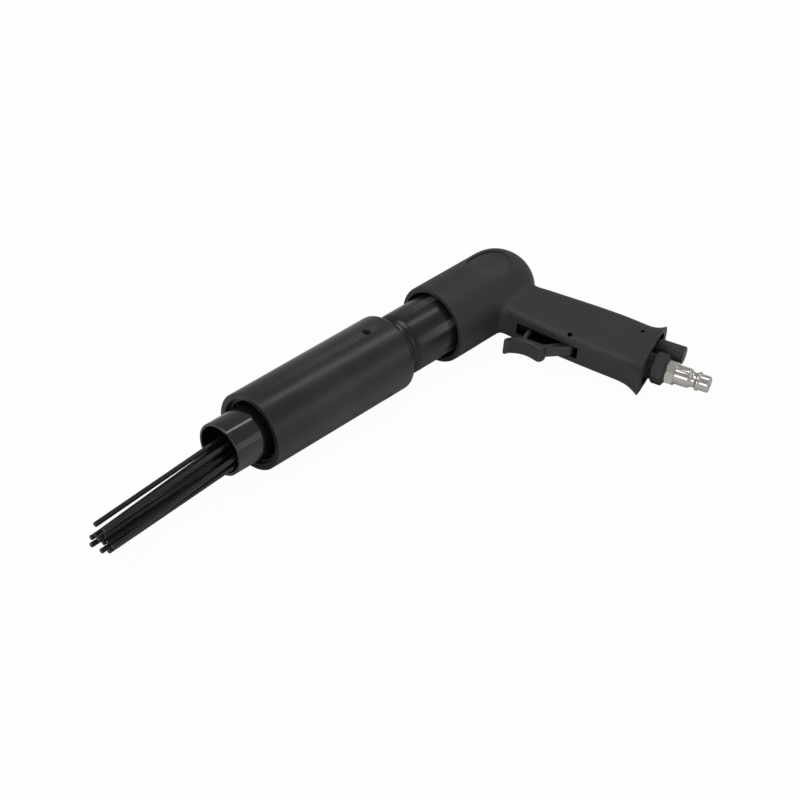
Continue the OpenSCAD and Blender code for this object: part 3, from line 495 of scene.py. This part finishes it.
# %% Lock screws
SCREW_R, SCREW_TOP, SOCKET_R, SOCKET_FLOOR = 2.5, 22.8, 1.45, 21.3
for index, turn in enumerate(SCREW_TURNS, 1):
    turned_body = lathe([(0, BORE_R, 0), (SCREW_R, BORE_R, 0), (SCREW_R, SCREW_TOP, 0.45),
                         (0, SCREW_TOP, 0)], 40, closed=False)
    screw = to_object(turned_body, f"set_screw_{index}", across_barrel(turn))
    socket = to_object(bar(SOCKET_R, SOCKET_FLOOR, SLEEVE_R, 6), "socket", across_barrel(turn))
    carve(screw, "DIFFERENCE", socket)
    seat(screw, "frame", "set_screw", oxide, f"lock_screw_{index}")

# %% [markdown]
# ## The snap ring and the return spring
# The ring is a strip that is spun only part of the way round, with an eye at each end for the pliers. The
# spring is a small circle that is spun and moved along the axis at the same time, which makes a helix in one
# step.

# %% Snap ring
RING_GAP, RING_TURN = 34, 108
RING_IN, RING_OUT, RING_REAR, RING_FRONT, RING_EDGE = 18.3, 21.2, -4.4, -3.0, 0.25
EYE_R, EYE_TURN = 17.7, 3.6
ring_mesh = lathe([(RING_IN, RING_REAR, RING_EDGE), (RING_OUT, RING_REAR, RING_EDGE),
                   (RING_OUT, RING_FRONT, RING_EDGE), (RING_IN, RING_FRONT, RING_EDGE)],
                  72, angle=360 - RING_GAP)
bmesh.ops.holes_fill(ring_mesh, edges=[e for e in ring_mesh.edges if e.is_boundary], sides=0)
ring_place = (Matrix.Rotation(math.radians(RING_TURN), 4, "X") @ BARREL
              @ Matrix.Rotation(math.radians(RING_GAP / 2), 4, "Z"))
ring = to_object(ring_mesh, "snap_ring", ring_place)
for side in (1, -1):
    at = math.radians(side * (RING_GAP / 2 + EYE_TURN) - RING_GAP / 2)
    spot = Matrix.Translation((EYE_R * math.cos(at), EYE_R * math.sin(at), 0))
    eye = lathe([(0.7, -4.35, 0.1), (1.25, -4.35, 0.2), (1.25, -3.05, 0.2), (0.7, -3.05, 0.1)], 28)
    carve(ring, "UNION", to_object(eye, "ring_eye", ring_place @ spot))
seat(ring, "frame", "spring_steel", coil, "spring_retaining_ring")

# %% Return spring
def wind(mean_r, wire_r, start, length, curls, name, place, sides=12, steps=40):
    bm = bmesh.new()
    upright = Matrix.Translation((mean_r, 0, start)) @ Matrix.Rotation(QUARTER, 4, "X")
    bmesh.ops.create_circle(bm, cap_ends=False, radius=wire_r, segments=sides, matrix=upright)
    total = curls * steps
    bmesh.ops.spin(bm, geom=bm.verts[:] + bm.edges[:], cent=(0, 0, 0), axis=(0, 0, 1),
                   dvec=(0, 0, length / total), angle=math.radians(360 * curls), steps=total)
    bmesh.ops.holes_fill(bm, edges=[e for e in bm.edges if e.is_boundary], sides=0)
    return to_object(bm, name, place)


SPRING_MEAN, SPRING_WIRE, SPRING_REAR, SPRING_L, SPRING_CURLS = 18.95, 1.1, -48.6, 42.8, 9
spring = wind(SPRING_MEAN, SPRING_WIRE, SPRING_REAR, SPRING_L, SPRING_CURLS, "return_coil", BARREL)
seat(spring, "frame", "spring_steel", coil, "return_spring")
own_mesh(spring)

# %% [markdown]
# ## The needle tube and its holder
# The tube carries the needles out of the sleeve. Its mouth edge is rounded inside and outside. The holder
# behind it is hidden, so it keeps its CAD shape and only gets a finish.

# %% Needle tube
TUBE_R, TUBE_BORE, TUBE_REAR, TUBE_FRONT = 16.2912, 14.5912, -50, 23.2
tube_form = lathe([(TUBE_BORE, TUBE_REAR, 0), (TUBE_R, TUBE_REAR, 0.3), (TUBE_R, TUBE_FRONT, 0.45),
                   (TUBE_BORE, TUBE_FRONT, 0.45)], 128)
tube = to_object(tube_form, "needle_guide_tube", BARREL)
seat(tube, "needle_carriage", "needle_tube", gloss, "needle_tube")

# %% [markdown]
# ## The needles
# Twelve drawn rods, each with a head inside and a chamfered tip. They lean as they like in their holes. The
# CAD node of each needle tells where it lies: the joint's axis is its direction, its corners give its tip.

# %% Needles
NEEDLE_L, NEEDLE_R, HEAD_L, HEAD_R = 180, 1.5, 3, 2.35
ways = {j["child"]: Vector(j["axis"]) for j in frame["joints"]}
for index in range(1, 13):
    name = f"needle_{index:02d}"
    way = ways[name + "_body"].normalized()
    points = [Vector(p) for p in {v.co.to_tuple(6) for v in frame["nodes"][name].data.vertices}]
    tip = max(p.dot(way) for p in points)
    foot = sum((p - way * p.dot(way) for p in points), Vector()) / len(points)
    rod = lathe([(0, -NEEDLE_L, 0), (HEAD_R, -NEEDLE_L, 0.4), (HEAD_R, HEAD_L - NEEDLE_L, 0.3),
                 (NEEDLE_R, HEAD_L - NEEDLE_L, 0), (NEEDLE_R, 0, 0.45), (0, 0, 0)], 28, closed=False)
    lean = way.to_track_quat("Z", "Y").to_matrix().to_4x4()
    place = Matrix.Translation(foot + way * tip) @ lean @ MILLI
    seat(to_object(rod, f"rod_{index:02d}", place), name + "_body", "needle", drawn, name)

# %% [markdown]
# ## The cylinder
# The dark turned body between sleeve and housing, with a narrow neck and a rounded shoulder. Exhaust holes
# lie inside the housing's rim. It is one lathe shape with the holes taken out.

# %% Cylinder
CYL_R, CYL_REAR, NECK_R, NECK_FRONT, NECK_REAR = 19.3, -205, 16.5, -112, -118
SPIGOT_R, SPIGOT_FRONT, ANVIL_R, PISTON_R = 20.25, -84, 5.1, 9.6
PORT_R, PORT_X, PORT_TURN, PORTS = 2.5, -158, 60, 6
cylinder = to_object(lathe([
    (ANVIL_R, SPIGOT_FRONT, 0), (SPIGOT_R, SPIGOT_FRONT, 0.6), (SPIGOT_R, NECK_FRONT, 0.3),
    (NECK_R, NECK_FRONT, 0), (NECK_R, NECK_REAR, 1.2), (CYL_R, -120.6, 2.2), (CYL_R, CYL_REAR, 0.4),
    (PISTON_R, CYL_REAR, 0), (PISTON_R, NECK_FRONT, 0), (ANVIL_R, NECK_FRONT, 0)], 128),
    "hammer_cylinder", BARREL)
for k in range(PORTS):
    place = MILLI @ Matrix.Rotation(math.radians(PORT_TURN * k), 4, "X") @ Matrix.Translation((PORT_X, 0, 0))
    carve(cylinder, "DIFFERENCE", to_object(bar(PORT_R, 9.1, 28), "port", place))
seat(cylinder, "frame", "cylinder", blacked, "cylinder")

# %% [markdown]
# ## The housing
# Barrel and grip are one casting, and a soft fillet runs where they meet. Fillets between two such forms are
# hard to bevel, so they are made as a sculptor would: both forms are joined and remeshed into small even
# faces, and the faces near the seam are smoothed until the corner is round. The grip is drawn a little too
# long, so that its end can be cut off flat with a clean edge. The sharp slots and bores are cut afterwards,
# and their inside gets a near-black finish as painted shade, darker than the skin of the casting. The grip's
# sections are given at stations along it, as shares of its main sizes.

# %% Grip form
STATIONS = [0.05, 0.17, 0.30, 0.42, 0.59, 0.76, 0.85, 0.905, 0.945, 0.98, 1, 1.035]
REARS = [0.87, 0.94, 0.96, 0.98, 1.00, 0.985, 0.945, 0.905, 0.89, 0.93, 1.01, 1.12]
FRONTS = [0.40, 0.42, 0.60, 0.78, 1.02, 1.22, 1.28, 1.34, 1.47, 1.71, 1.88, 2.16]
HALVES = [0.60, 0.57, 0.53, 0.505, 0.50, 0.50, 0.50, 0.51, 0.53, 0.57, 0.59, 0.62]
GRIP_L, GRIP_REAR, GRIP_FRONT, GRIP_T, TAPER = 118.5, 31.0, 11.0, 22.4, 0.12
FRONT_POWER, REAR_POWER = 6.5, 3.0


def bend(value, power):
    return math.copysign(abs(value) ** (2 / power), value)


def section(ring, rear, front, half, height):
    for k, v in enumerate(ring):
        a = 2 * math.pi * k / len(ring)
        power = FRONT_POWER if math.cos(a) > 0 else REAR_POWER
        along, across = bend(math.cos(a), power), bend(math.sin(a), power)
        v.co = ((front - rear) / 2 + (front + rear) / 2 * along, half * across * (1 - TAPER * along), height)


def station(ring, i):
    section(ring, REARS[i] * GRIP_REAR, FRONTS[i] * GRIP_FRONT, HALVES[i] * GRIP_T, STATIONS[i] * GRIP_L)


def grip_form():
    bm = bmesh.new()
    crease = bm.edges.layers.float.new("crease_edge")
    ring = bmesh.ops.create_circle(bm, cap_ends=True, radius=1, segments=56)["verts"]
    station(ring, 0)
    loop = bm.edges[:]
    for i in range(1, len(STATIONS)):
        grown = bmesh.ops.extrude_edge_only(bm, edges=loop)["geom"]
        ring = [g for g in grown if isinstance(g, bmesh.types.BMVert)]
        loop = [g for g in grown if isinstance(g, bmesh.types.BMEdge) and g.is_boundary]
        station(ring, i)
    for e in loop:
        e[crease] = 1.0
    bmesh.ops.holes_fill(bm, edges=loop, sides=0)
    return bm


grip_mesh = grip_form()
print("grip form", len(grip_mesh.verts), "corners")

# %% Barrel and grip joined
HOUSING_R, RIM_X, DOME_X, RIM_EDGE = 24.7, -151.0, -208.5, 1.4
casting_form = to_object(grip_mesh, "housing_casting", GRIP)
casting_form.modifiers.new("round", "SUBSURF").levels = 2
casting_form.modifiers["round"].render_levels = 2
settle(casting_form)


def domed(radius, rim):
    rear = DOME_X - radius
    return lathe([(0, rear, 0), (radius, rear, radius), (radius, RIM_X, rim), (0, RIM_X, 0)], 160,
                 closed=False)


carve(casting_form, "UNION", to_object(domed(HOUSING_R, RIM_EDGE), "barrel_form", BARREL))
even = casting_form.modifiers.new("even", "REMESH")
even.mode = "VOXEL"
even.voxel_size = 0.0007
settle(casting_form)
print("even faces", len(casting_form.data.polygons))

# %% Fillet along the seam
FROM_GRIP = GRIP.inverted()
SEAM_TOP, SEAM_REAR, SEAM_FRONT = 8, -40, 16


def near_seam(v, reach):
    local = FROM_GRIP @ v.co
    off_barrel = math.hypot(v.co.y, v.co.z) * 1000 - HOUSING_R
    return local.z > SEAM_TOP and abs(off_barrel) < reach and SEAM_REAR < local.x < SEAM_FRONT


def soften(bm, corners, rounds):
    for _ in range(rounds):
        bmesh.ops.smooth_vert(bm, verts=corners, factor=0.5, use_axis_x=True, use_axis_y=True,
                              use_axis_z=True)
    print("smoothed", len(corners), "corners", rounds, "times")


bm = bmesh.new()
bm.from_mesh(casting_form.data)
soften(bm, bm.verts[:], 1)
for reach, rounds in ((7.5, 30), (5.0, 25), (3.0, 15)):
    soften(bm, [v for v in bm.verts if near_seam(v, reach)], rounds)
bm.to_mesh(casting_form.data)
bm.free()

# %% Cutting forms
RECESS_REAR, RECESS_FRONT, RECESS_HALF, RECESS_DEEP = 25.4, 9.9, 11.1, 5.0
THROTTLE_W, REGULATOR_U = 43.5, -19.3


def box_form(low, high, name, place):
    bm = bmesh.new()
    bmesh.ops.create_cube(bm, size=1)
    for v in bm.verts:
        v.co = [l if c < 0 else h for c, l, h in zip(v.co, low, high)]
    return to_object(bm, name, place)


def recess_form():
    bm = bmesh.new()
    ring = bmesh.ops.create_circle(bm, cap_ends=True, radius=1, segments=112)["verts"]
    section(ring, RECESS_REAR, RECESS_FRONT, RECESS_HALF, GRIP_L - RECESS_DEEP)
    grown = bmesh.ops.extrude_face_region(bm, geom=bm.faces[:])["geom"]
    moved = [g for g in grown if isinstance(g, bmesh.types.BMVert)]
    bmesh.ops.translate(bm, verts=moved, vec=(0, 0, RECESS_DEEP + 1))
    return to_object(bm, "recess", GRIP)


FORWARD = GRIP @ Matrix.Translation((0, 0, THROTTLE_W)) @ Matrix.Rotation(QUARTER, 4, "Y")
BEHIND = GRIP @ Matrix.Translation((REGULATOR_U, 0, 0))


def across_grip(u, w):
    return GRIP @ Matrix.Translation((u, 0, w)) @ Matrix.Rotation(QUARTER, 4, "X")


def stepped(steps, name, place):
    profile = [(0, steps[0][1], 0)]
    for radius, start, end in steps:
        profile += [(radius, start, 0), (radius, end, 0)]
    return to_object(lathe(profile + [(0, steps[-1][2], 0)], 112, closed=False), name, place)


print("forward of the grip", [round(v * 1000, 3) for v in FORWARD.to_3x3().col[2]])

# %% Bores, slot and recess
MOUTH = RIM_X + 1
SLOT_LOW, SLOT_HIGH = (3, -4, 35.4), (34, 4, 76.8)
END_LOW, END_HIGH = (-60, -40, GRIP_L), (60, 40, GRIP_L + 12)
PIVOT, STOP, PIN_HOLE_R, STOP_HOLE_R = (8.0, 69.5), (-14.05, 107.7), 1.55, 1.25
cutters = [
    stepped([(17.5, -221.5, CYL_REAR), (19.4, CYL_REAR, -165), (21.5, -165, MOUTH)], "barrel_bore", BARREL),
    box_form(SLOT_LOW, SLOT_HIGH, "trigger_slot", GRIP),
    recess_form(),
    stepped([(4.4, -22, -6.5), (3.95, -6.5, 3.5)], "throttle_bore", FORWARD),
    stepped([(7.0, 94, 103), (8.05, 103, 130)], "inlet_bore", GRIP),
    stepped([(5.05, 90.5, 130)], "regulator_bore", BEHIND),
    to_object(bar(PIN_HOLE_R, -20, 20), "pin_hole", across_grip(*PIVOT)),
    to_object(bar(STOP_HOLE_R, -20, 20), "stop_hole", across_grip(*STOP)),
]
for look in (casting, bore_shade):
    casting_form.data.materials.append(look["material"])
carve(casting_form, "DIFFERENCE", box_form(END_LOW, END_HIGH, "end_cut", GRIP))
# The cutters' faces take the second slot, the near-black finish: painted shade inside the slot, the recess
# and the bores.
for cutter in cutters:
    for face in cutter.data.polygons:
        face.material_index = 1
carve(casting_form, "DIFFERENCE", *cutters)
print("bore_shade", len(casting_form.data.polygons))

# %% [markdown]
# A shallow round panel is sunk in the barrel's upper side and left bare. The tool that sinks it is an oval
# prism with the barrel's own round taken out of it, so that the floor of the panel follows the barrel.

# %% Bare panel
PANEL_X, PANEL_LONG, PANEL_WIDE, PANEL_DEEP = -199.3, 14.5, 12.9, 0.8
oval = bar(1, 15, 30, 96)
oval.transform(Matrix.Diagonal((PANEL_LONG, PANEL_WIDE, 1, 1)))
panel = to_object(oval, "panel", LAID @ Matrix.Translation((PANEL_X, 0, 0)))
carve(panel, "DIFFERENCE", to_object(domed(HOUSING_R - PANEL_DEEP, 0), "panel_floor", BARREL))
carve(casting_form, "DIFFERENCE", panel)
seat(casting_form, "frame", "housing", casting, "housing", sharp=40)

# %% [markdown]
# ## The trigger
# A lever on a pin, with a wide finger pad that curves to the finger. Each outline is extruded across the
# grip. Its two sides are then inset in six small steps that follow a quarter circle, which rounds the edge
# evenly.

# %% Trigger helpers
ROUND_STEPS, STEP_TURN = 6, 15


def plate(outline, width, rounding, name):
    bm = bmesh.new()
    side = bm.faces.new([bm.verts.new((u, rounding - width / 2, w)) for u, w in outline])
    grown = bmesh.ops.extrude_face_region(bm, geom=[side])["geom"]
    moved = [g for g in grown if isinstance(g, bmesh.types.BMVert)]
    bmesh.ops.translate(bm, verts=moved, vec=(0, width - 2 * rounding, 0))
    bmesh.ops.recalc_face_normals(bm, faces=bm.faces)
    sides = [f for f in bm.faces if len(f.verts) == len(outline)]
    for step in range(ROUND_STEPS):
        low, high = math.radians(STEP_TURN * step), math.radians(STEP_TURN * (step + 1))
        bmesh.ops.inset_region(bm, faces=sides, thickness=rounding * (math.cos(low) - math.cos(high)),
                               depth=rounding * (math.sin(high) - math.sin(low)), use_even_offset=True)
    return to_object(bm, name, GRIP)


def arc(centre, radius, start, end, steps):
    turns = [math.radians(start + (end - start) * i / steps) for i in range(steps + 1)]
    return [(centre[0] + radius * math.cos(a), centre[1] + radius * math.sin(a)) for a in turns]


def on_lever(corners):
    return [(PIVOT[0] + forward, PIVOT[1] - rise) for forward, rise in corners]


# %% Trigger
ARM_WIDE, BOSS_R, PAD_WIDE = 7.0, 4.4, 11.0
strip = [(3.8, -2.2), (12.4, 9.8), (16.0, 16.4), (11.8, 16.4), (9.2, 12.2), (0.4, 1.0)]
arm = plate(on_lever(strip), ARM_WIDE, 0.6, "trigger_arm")
boss = plate(arc(PIVOT, BOSS_R, 0, 348, 29), ARM_WIDE, 0.4, "trigger_boss")
back_side = [(12.0, 9.6), (11.4, 14), (11.4, 22), (11.4, 28), (14.4, 31.6), (17.0, 34.2), (18.8, 34.6),
             (19.8, 34.2)]
finger_side = [(19.9, 33.2), (17.6, 30.4), (16.3, 27.6), (15.5, 25), (15.2, 22.6), (15.3, 20.2),
               (15.8, 17.8), (16.6, 15.4), (17.2, 13.4), (17.1, 12.0), (16.2, 10.8), (14.4, 9.8)]
pad = plate(on_lever(back_side + finger_side), PAD_WIDE, 1.5, "trigger_lever")
carve(pad, "UNION", arm, boss)
carve(pad, "DIFFERENCE", to_object(bar(PIN_HOLE_R, -10, 10), "pin_room", across_grip(*PIVOT)))
seat(pad, "trigger_body", "trigger", lacquer, "trigger", sharp=38)

# %% [markdown]
# ## The regulator knob
# A turned knob with slanting knurls. The lathe gives it many narrow strips, and each corner of the grip
# part is pushed in by a wave that winds around it, so that the ridges are real.

# %% Regulator knob
KNOB_R, KNOB_SKIN, STRIP_L = 5.5, 5.45, 12
KNURL_FROM, KNURL_TO, KNURLS, KNURL_SLANT, KNURL_DEEP = 118.2, 133.6, 40, 4.5, 0.026
knob = lathe([(0, 91.5, 0), (2.6, 91.5, 0.2), (2.6, 94.5, 0), (5, 94.5, 0.3), (5, 98.8, 0), (4.3, 98.8, 0),
              (4.3, 100.2, 0), (5, 100.2, 0), (5, 106.45, 0), (4, 106.45, 0), (4, 108.95, 0), (5, 108.95, 0),
              (5, 117.5, 0), (KNOB_R, 117.5, 0.5), (KNOB_R, 134.5, 0.6), (0, 134.5, 0)], 240, closed=False)
strips = [e for e in knob.edges if e.calc_length() > STRIP_L and e.verts[0].co.xy.length > KNOB_SKIN]
bmesh.ops.subdivide_edges(knob, edges=strips, cuts=80, use_grid_fill=True)
for v in knob.verts:
    if v.co.xy.length > KNOB_SKIN and KNURL_FROM < v.co.z < KNURL_TO:
        wave = math.sin(KNURLS * math.atan2(v.co.y, v.co.x) + KNURL_SLANT * v.co.z)
        v.co.xy *= 1 - KNURL_DEEP * (1 - wave)
seat(to_object(knob, "regulator_grip", BEHIND), "regulator", "knob", knurled, "regulator_knob", sharp=45)

# %% [markdown]
# ## The inlet bush
# A bush with a screw thread and a hexagon. Thread turns are narrow rings of the profile, and the corners of
# the hexagon are taken off by keeping only what lies inside a turned form, as a real hexagon is chamfered.

# %% Hexagon helper
CLEAR, STEEP = 0.3, 0.6


def hexagon(flats, start, end, chamfer, name, turn=0):
    corner = flats / math.sqrt(3)
    six = to_object(bar(corner, start, end, 6), name, GRIP @ Matrix.Rotation(math.radians(turn), 4, "Z"))
    wide, slope = corner + CLEAR, (chamfer + CLEAR) * STEEP
    narrow = corner - chamfer - 1 / STEEP
    limit = lathe([(0, start - 1, 0), (narrow, start - 1, 0), (wide, start + slope, 0),
                   (wide, end - slope, 0), (narrow, end + 1, 0), (0, end + 1, 0)], 96, closed=False)
    carve(six, "INTERSECT", to_object(limit, "limit", GRIP))
    return six


# %% Inlet bush
THREAD_TURNS, THREAD_TOP, PITCH, ROOT_R, CREST_R = 13, 104, 1.35, 7.35, 7.98
thread = [(0, 103, 0), (7.5, 103, 0)]
for k in range(THREAD_TURNS):
    at = THREAD_TOP + PITCH * k
    thread += [(ROOT_R, at, 0), (CREST_R, at + 0.5, 0), (CREST_R, at + 0.72, 0)]
thread += [(7.2, 121.7, 0), (7.2, 122.2, 0), (0, 122.2, 0)]
nut = hexagon(17, 121.9, 129.1, 1.2, "inlet_bush_nut")
carve(nut, "UNION", to_object(lathe(thread, 80, closed=False), "bush_thread", GRIP))
carve(nut, "DIFFERENCE", stepped([(4.4, 100, 117.6), (5.65, 117.6, 140)], "bush_room", GRIP))
seat(nut, "frame", "bush", oxide, "inlet_bush")

# %% [markdown]
# ## The hose plug
# The bright quick plug: a hexagon, a round body, a waist for the coupling's balls, a ridge and the nose. All
# edges are softly rounded, because plated parts are tumbled before they are plated.

# %% Hose plug
plug = lathe([
    (0, 118.1, 0), (5.6, 118.1, 0.4), (5.6, 135.6, 0), (6, 135.6, 0), (6, 144.5, 0.9), (4.6, 145.6, 0.8),
    (4.6, 148.4, 0.8), (5.9, 149.2, 0.5), (5.9, 150.4, 0.5), (5, 151, 0.3), (5, 156.9, 0.9), (0, 156.9, 0)],
    96, closed=False)
plug_hex = hexagon(14, 130.3, 135.7, 1.1, "hose_plug", 24)
carve(plug_hex, "UNION", to_object(plug, "plug_body", GRIP))
PLUG_BORE = 3.6
flared = lathe([(0, 110, 0), (PLUG_BORE, 110, 0), (PLUG_BORE, 156.3, 0.4), (4.4, 157.2, 0), (0, 157.2, 0)],
               80, closed=False)
carve(plug_hex, "DIFFERENCE", to_object(flared, "through", GRIP))
seat(plug_hex, "frame", "plug", nickel, "air_plug")

# %% [markdown]
# ## The throttle spring
# A small coil behind the throttle valve. It is wound as the return spring is.

# %% Throttle spring
COIL_REAR, COIL_FRONT, COIL_MEAN, COIL_WIRE, COIL_CURLS = -21.3, -11.8, 3.0, 0.4, 5
throttle_coil = wind(COIL_MEAN, COIL_WIRE, COIL_REAR, COIL_FRONT - COIL_REAR, COIL_CURLS, "throttle_coil",
                     FORWARD, sides=8, steps=28)
seat(throttle_coil, "frame", "spring_steel", coil, "throttle_spring")
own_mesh(throttle_coil)

# %% [markdown]
# ## The pieces that keep their CAD shape
# What is hidden, or a plain pin, needs no new mesh. It gets the finish of its real material; only the
# throttle bush, deep in the trigger slot, gets the near-black bore finish as painted shade.

# %% Finishes of the CAD pieces
kept = {
    "needle_holder": blacked, "anvil": hardened, "piston": ground,
    "valve_seat": ground, "valve_disc": ground, "valve_cap": ground,
    # the throttle bush takes the near-black bore finish: painted shade deep in the slot
    "trigger_pin": blacked, "throttle_bush": bore_shade, "throttle_bush_seal": rubber,
    "throttle_stem": hardened, "throttle_poppet": rubber,
    "regulator_seal": rubber, "regulator_pin": blacked,
    "inlet_filter": brass, "plug_washer": fibre,
}
for name, look in kept.items():
    node = frame["nodes"][name]
    node.data.materials.clear()
    node.data.materials.append(look["material"])
print("kept", len(kept))

# %% [markdown]
# ## Table and light
# The photograph has a white ground with hardly a shadow. For the camera the table is mostly a white glow,
# and a small share of it takes light, so that a faint shadow stays. The tool itself sees a lit table and an
# even, dim room, because black gloss only looks black when most of what it mirrors is dim.

# %% Table
FLOOR_Z, GLOW_SHARE = -0.0247, 0.97
bm = bmesh.new()
bmesh.ops.create_grid(bm, x_segments=2, y_segments=2, size=6)
table_mesh = bpy.data.meshes.new("table")
bm.to_mesh(table_mesh)
bm.free()
table_mesh.transform(Matrix.Translation((0, 0, FLOOR_Z)))
table = bpy.data.objects.new("table", table_mesh)
scene.collection.objects.link(table)
table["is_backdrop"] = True


def camera_sees(tree):
    path = add(tree, "ShaderNodeLightPath")
    return math_node(tree, "MAXIMUM", path.outputs["Is Camera Ray"], path.outputs["Is Transmission Ray"])


white = bpy.data.materials.new("white_table")
white.use_nodes = True
tree = white.node_tree
paper = tree.nodes["Principled BSDF"]
paper.inputs["Base Color"].default_value = (0.8, 0.8, 0.8, 1)
paper.inputs["Roughness"].default_value = 0.9
paper.inputs["Specular IOR Level"].default_value = 0.0
mix = add(tree, "ShaderNodeMixShader")
tree.links.new(math_node(tree, "MULTIPLY", camera_sees(tree), GLOW_SHARE), mix.inputs["Fac"])
tree.links.new(paper.outputs["BSDF"], mix.inputs[1])
tree.links.new(add(tree, "ShaderNodeEmission").outputs["Emission"], mix.inputs[2])
tree.links.new(mix.outputs["Shader"], tree.nodes["Material Output"].inputs["Surface"])
table_mesh.materials.append(white)
print("table", table.name)

# %% World
ROOM_LIGHT, SEEN_LIGHT = 0.38, 1.0
world = bpy.data.worlds.new("studio")
scene.world = world
world.use_nodes = True
tree = world.node_tree
sky = tree.nodes["Background"]
sky.inputs["Color"].default_value = (1, 1, 1, 1)
strength = add(tree, "ShaderNodeMix", data_type="FLOAT")
strength.inputs["A"].default_value = ROOM_LIGHT
strength.inputs["B"].default_value = SEEN_LIGHT
tree.links.new(camera_sees(tree), strength.inputs["Factor"])
tree.links.new(strength.outputs["Result"], sky.inputs["Strength"])
print("world", world.name)

# %% [markdown]
# A round bar mirrors a lamp as a line along its length. The lamp behind makes the faint line on the sleeve
# and the tube, the side lamp lights their lower half, the top lamp catches the grip's edge, and the front
# lamp fills the faces around the trigger.

# %% Lamps
AIM = Vector((-0.08, 0.04, 0.0))


def lamp(name, place, size, power):
    light = bpy.data.lights.new(name, "AREA")
    light.shape = "RECTANGLE"
    light.size, light.size_y = size
    light.energy = power
    obj = bpy.data.objects.new(name, light)
    obj.location = place
    obj.rotation_mode = "QUATERNION"
    obj.rotation_quaternion = (AIM - Vector(place)).to_track_quat("-Z", "Y")
    scene.collection.objects.link(obj)
    print(name, "at", place)


lamp("strip_behind", (-1.10, 0.12, 1.45), (0.22, 1.3), 3)
lamp("soft_side", (-0.95, 1.30, 0.40), (1.2, 0.7), 1.5)
lamp("soft_top", (0.45, -0.30, 1.70), (0.9, 1.2), 10)
lamp("soft_front", (1.70, 0.75, 0.55), (1.6, 0.8), 7)

# %% [markdown]
# ## Sizes
# Both boxes are written out: the CAD model's and the dressed tool's.

# %% Finish
seen_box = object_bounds()
for name, box in (("cad", cad_box), ("seen", seen_box)):
    print(name, "box", [[round(v, 4) for v in p] for p in box])
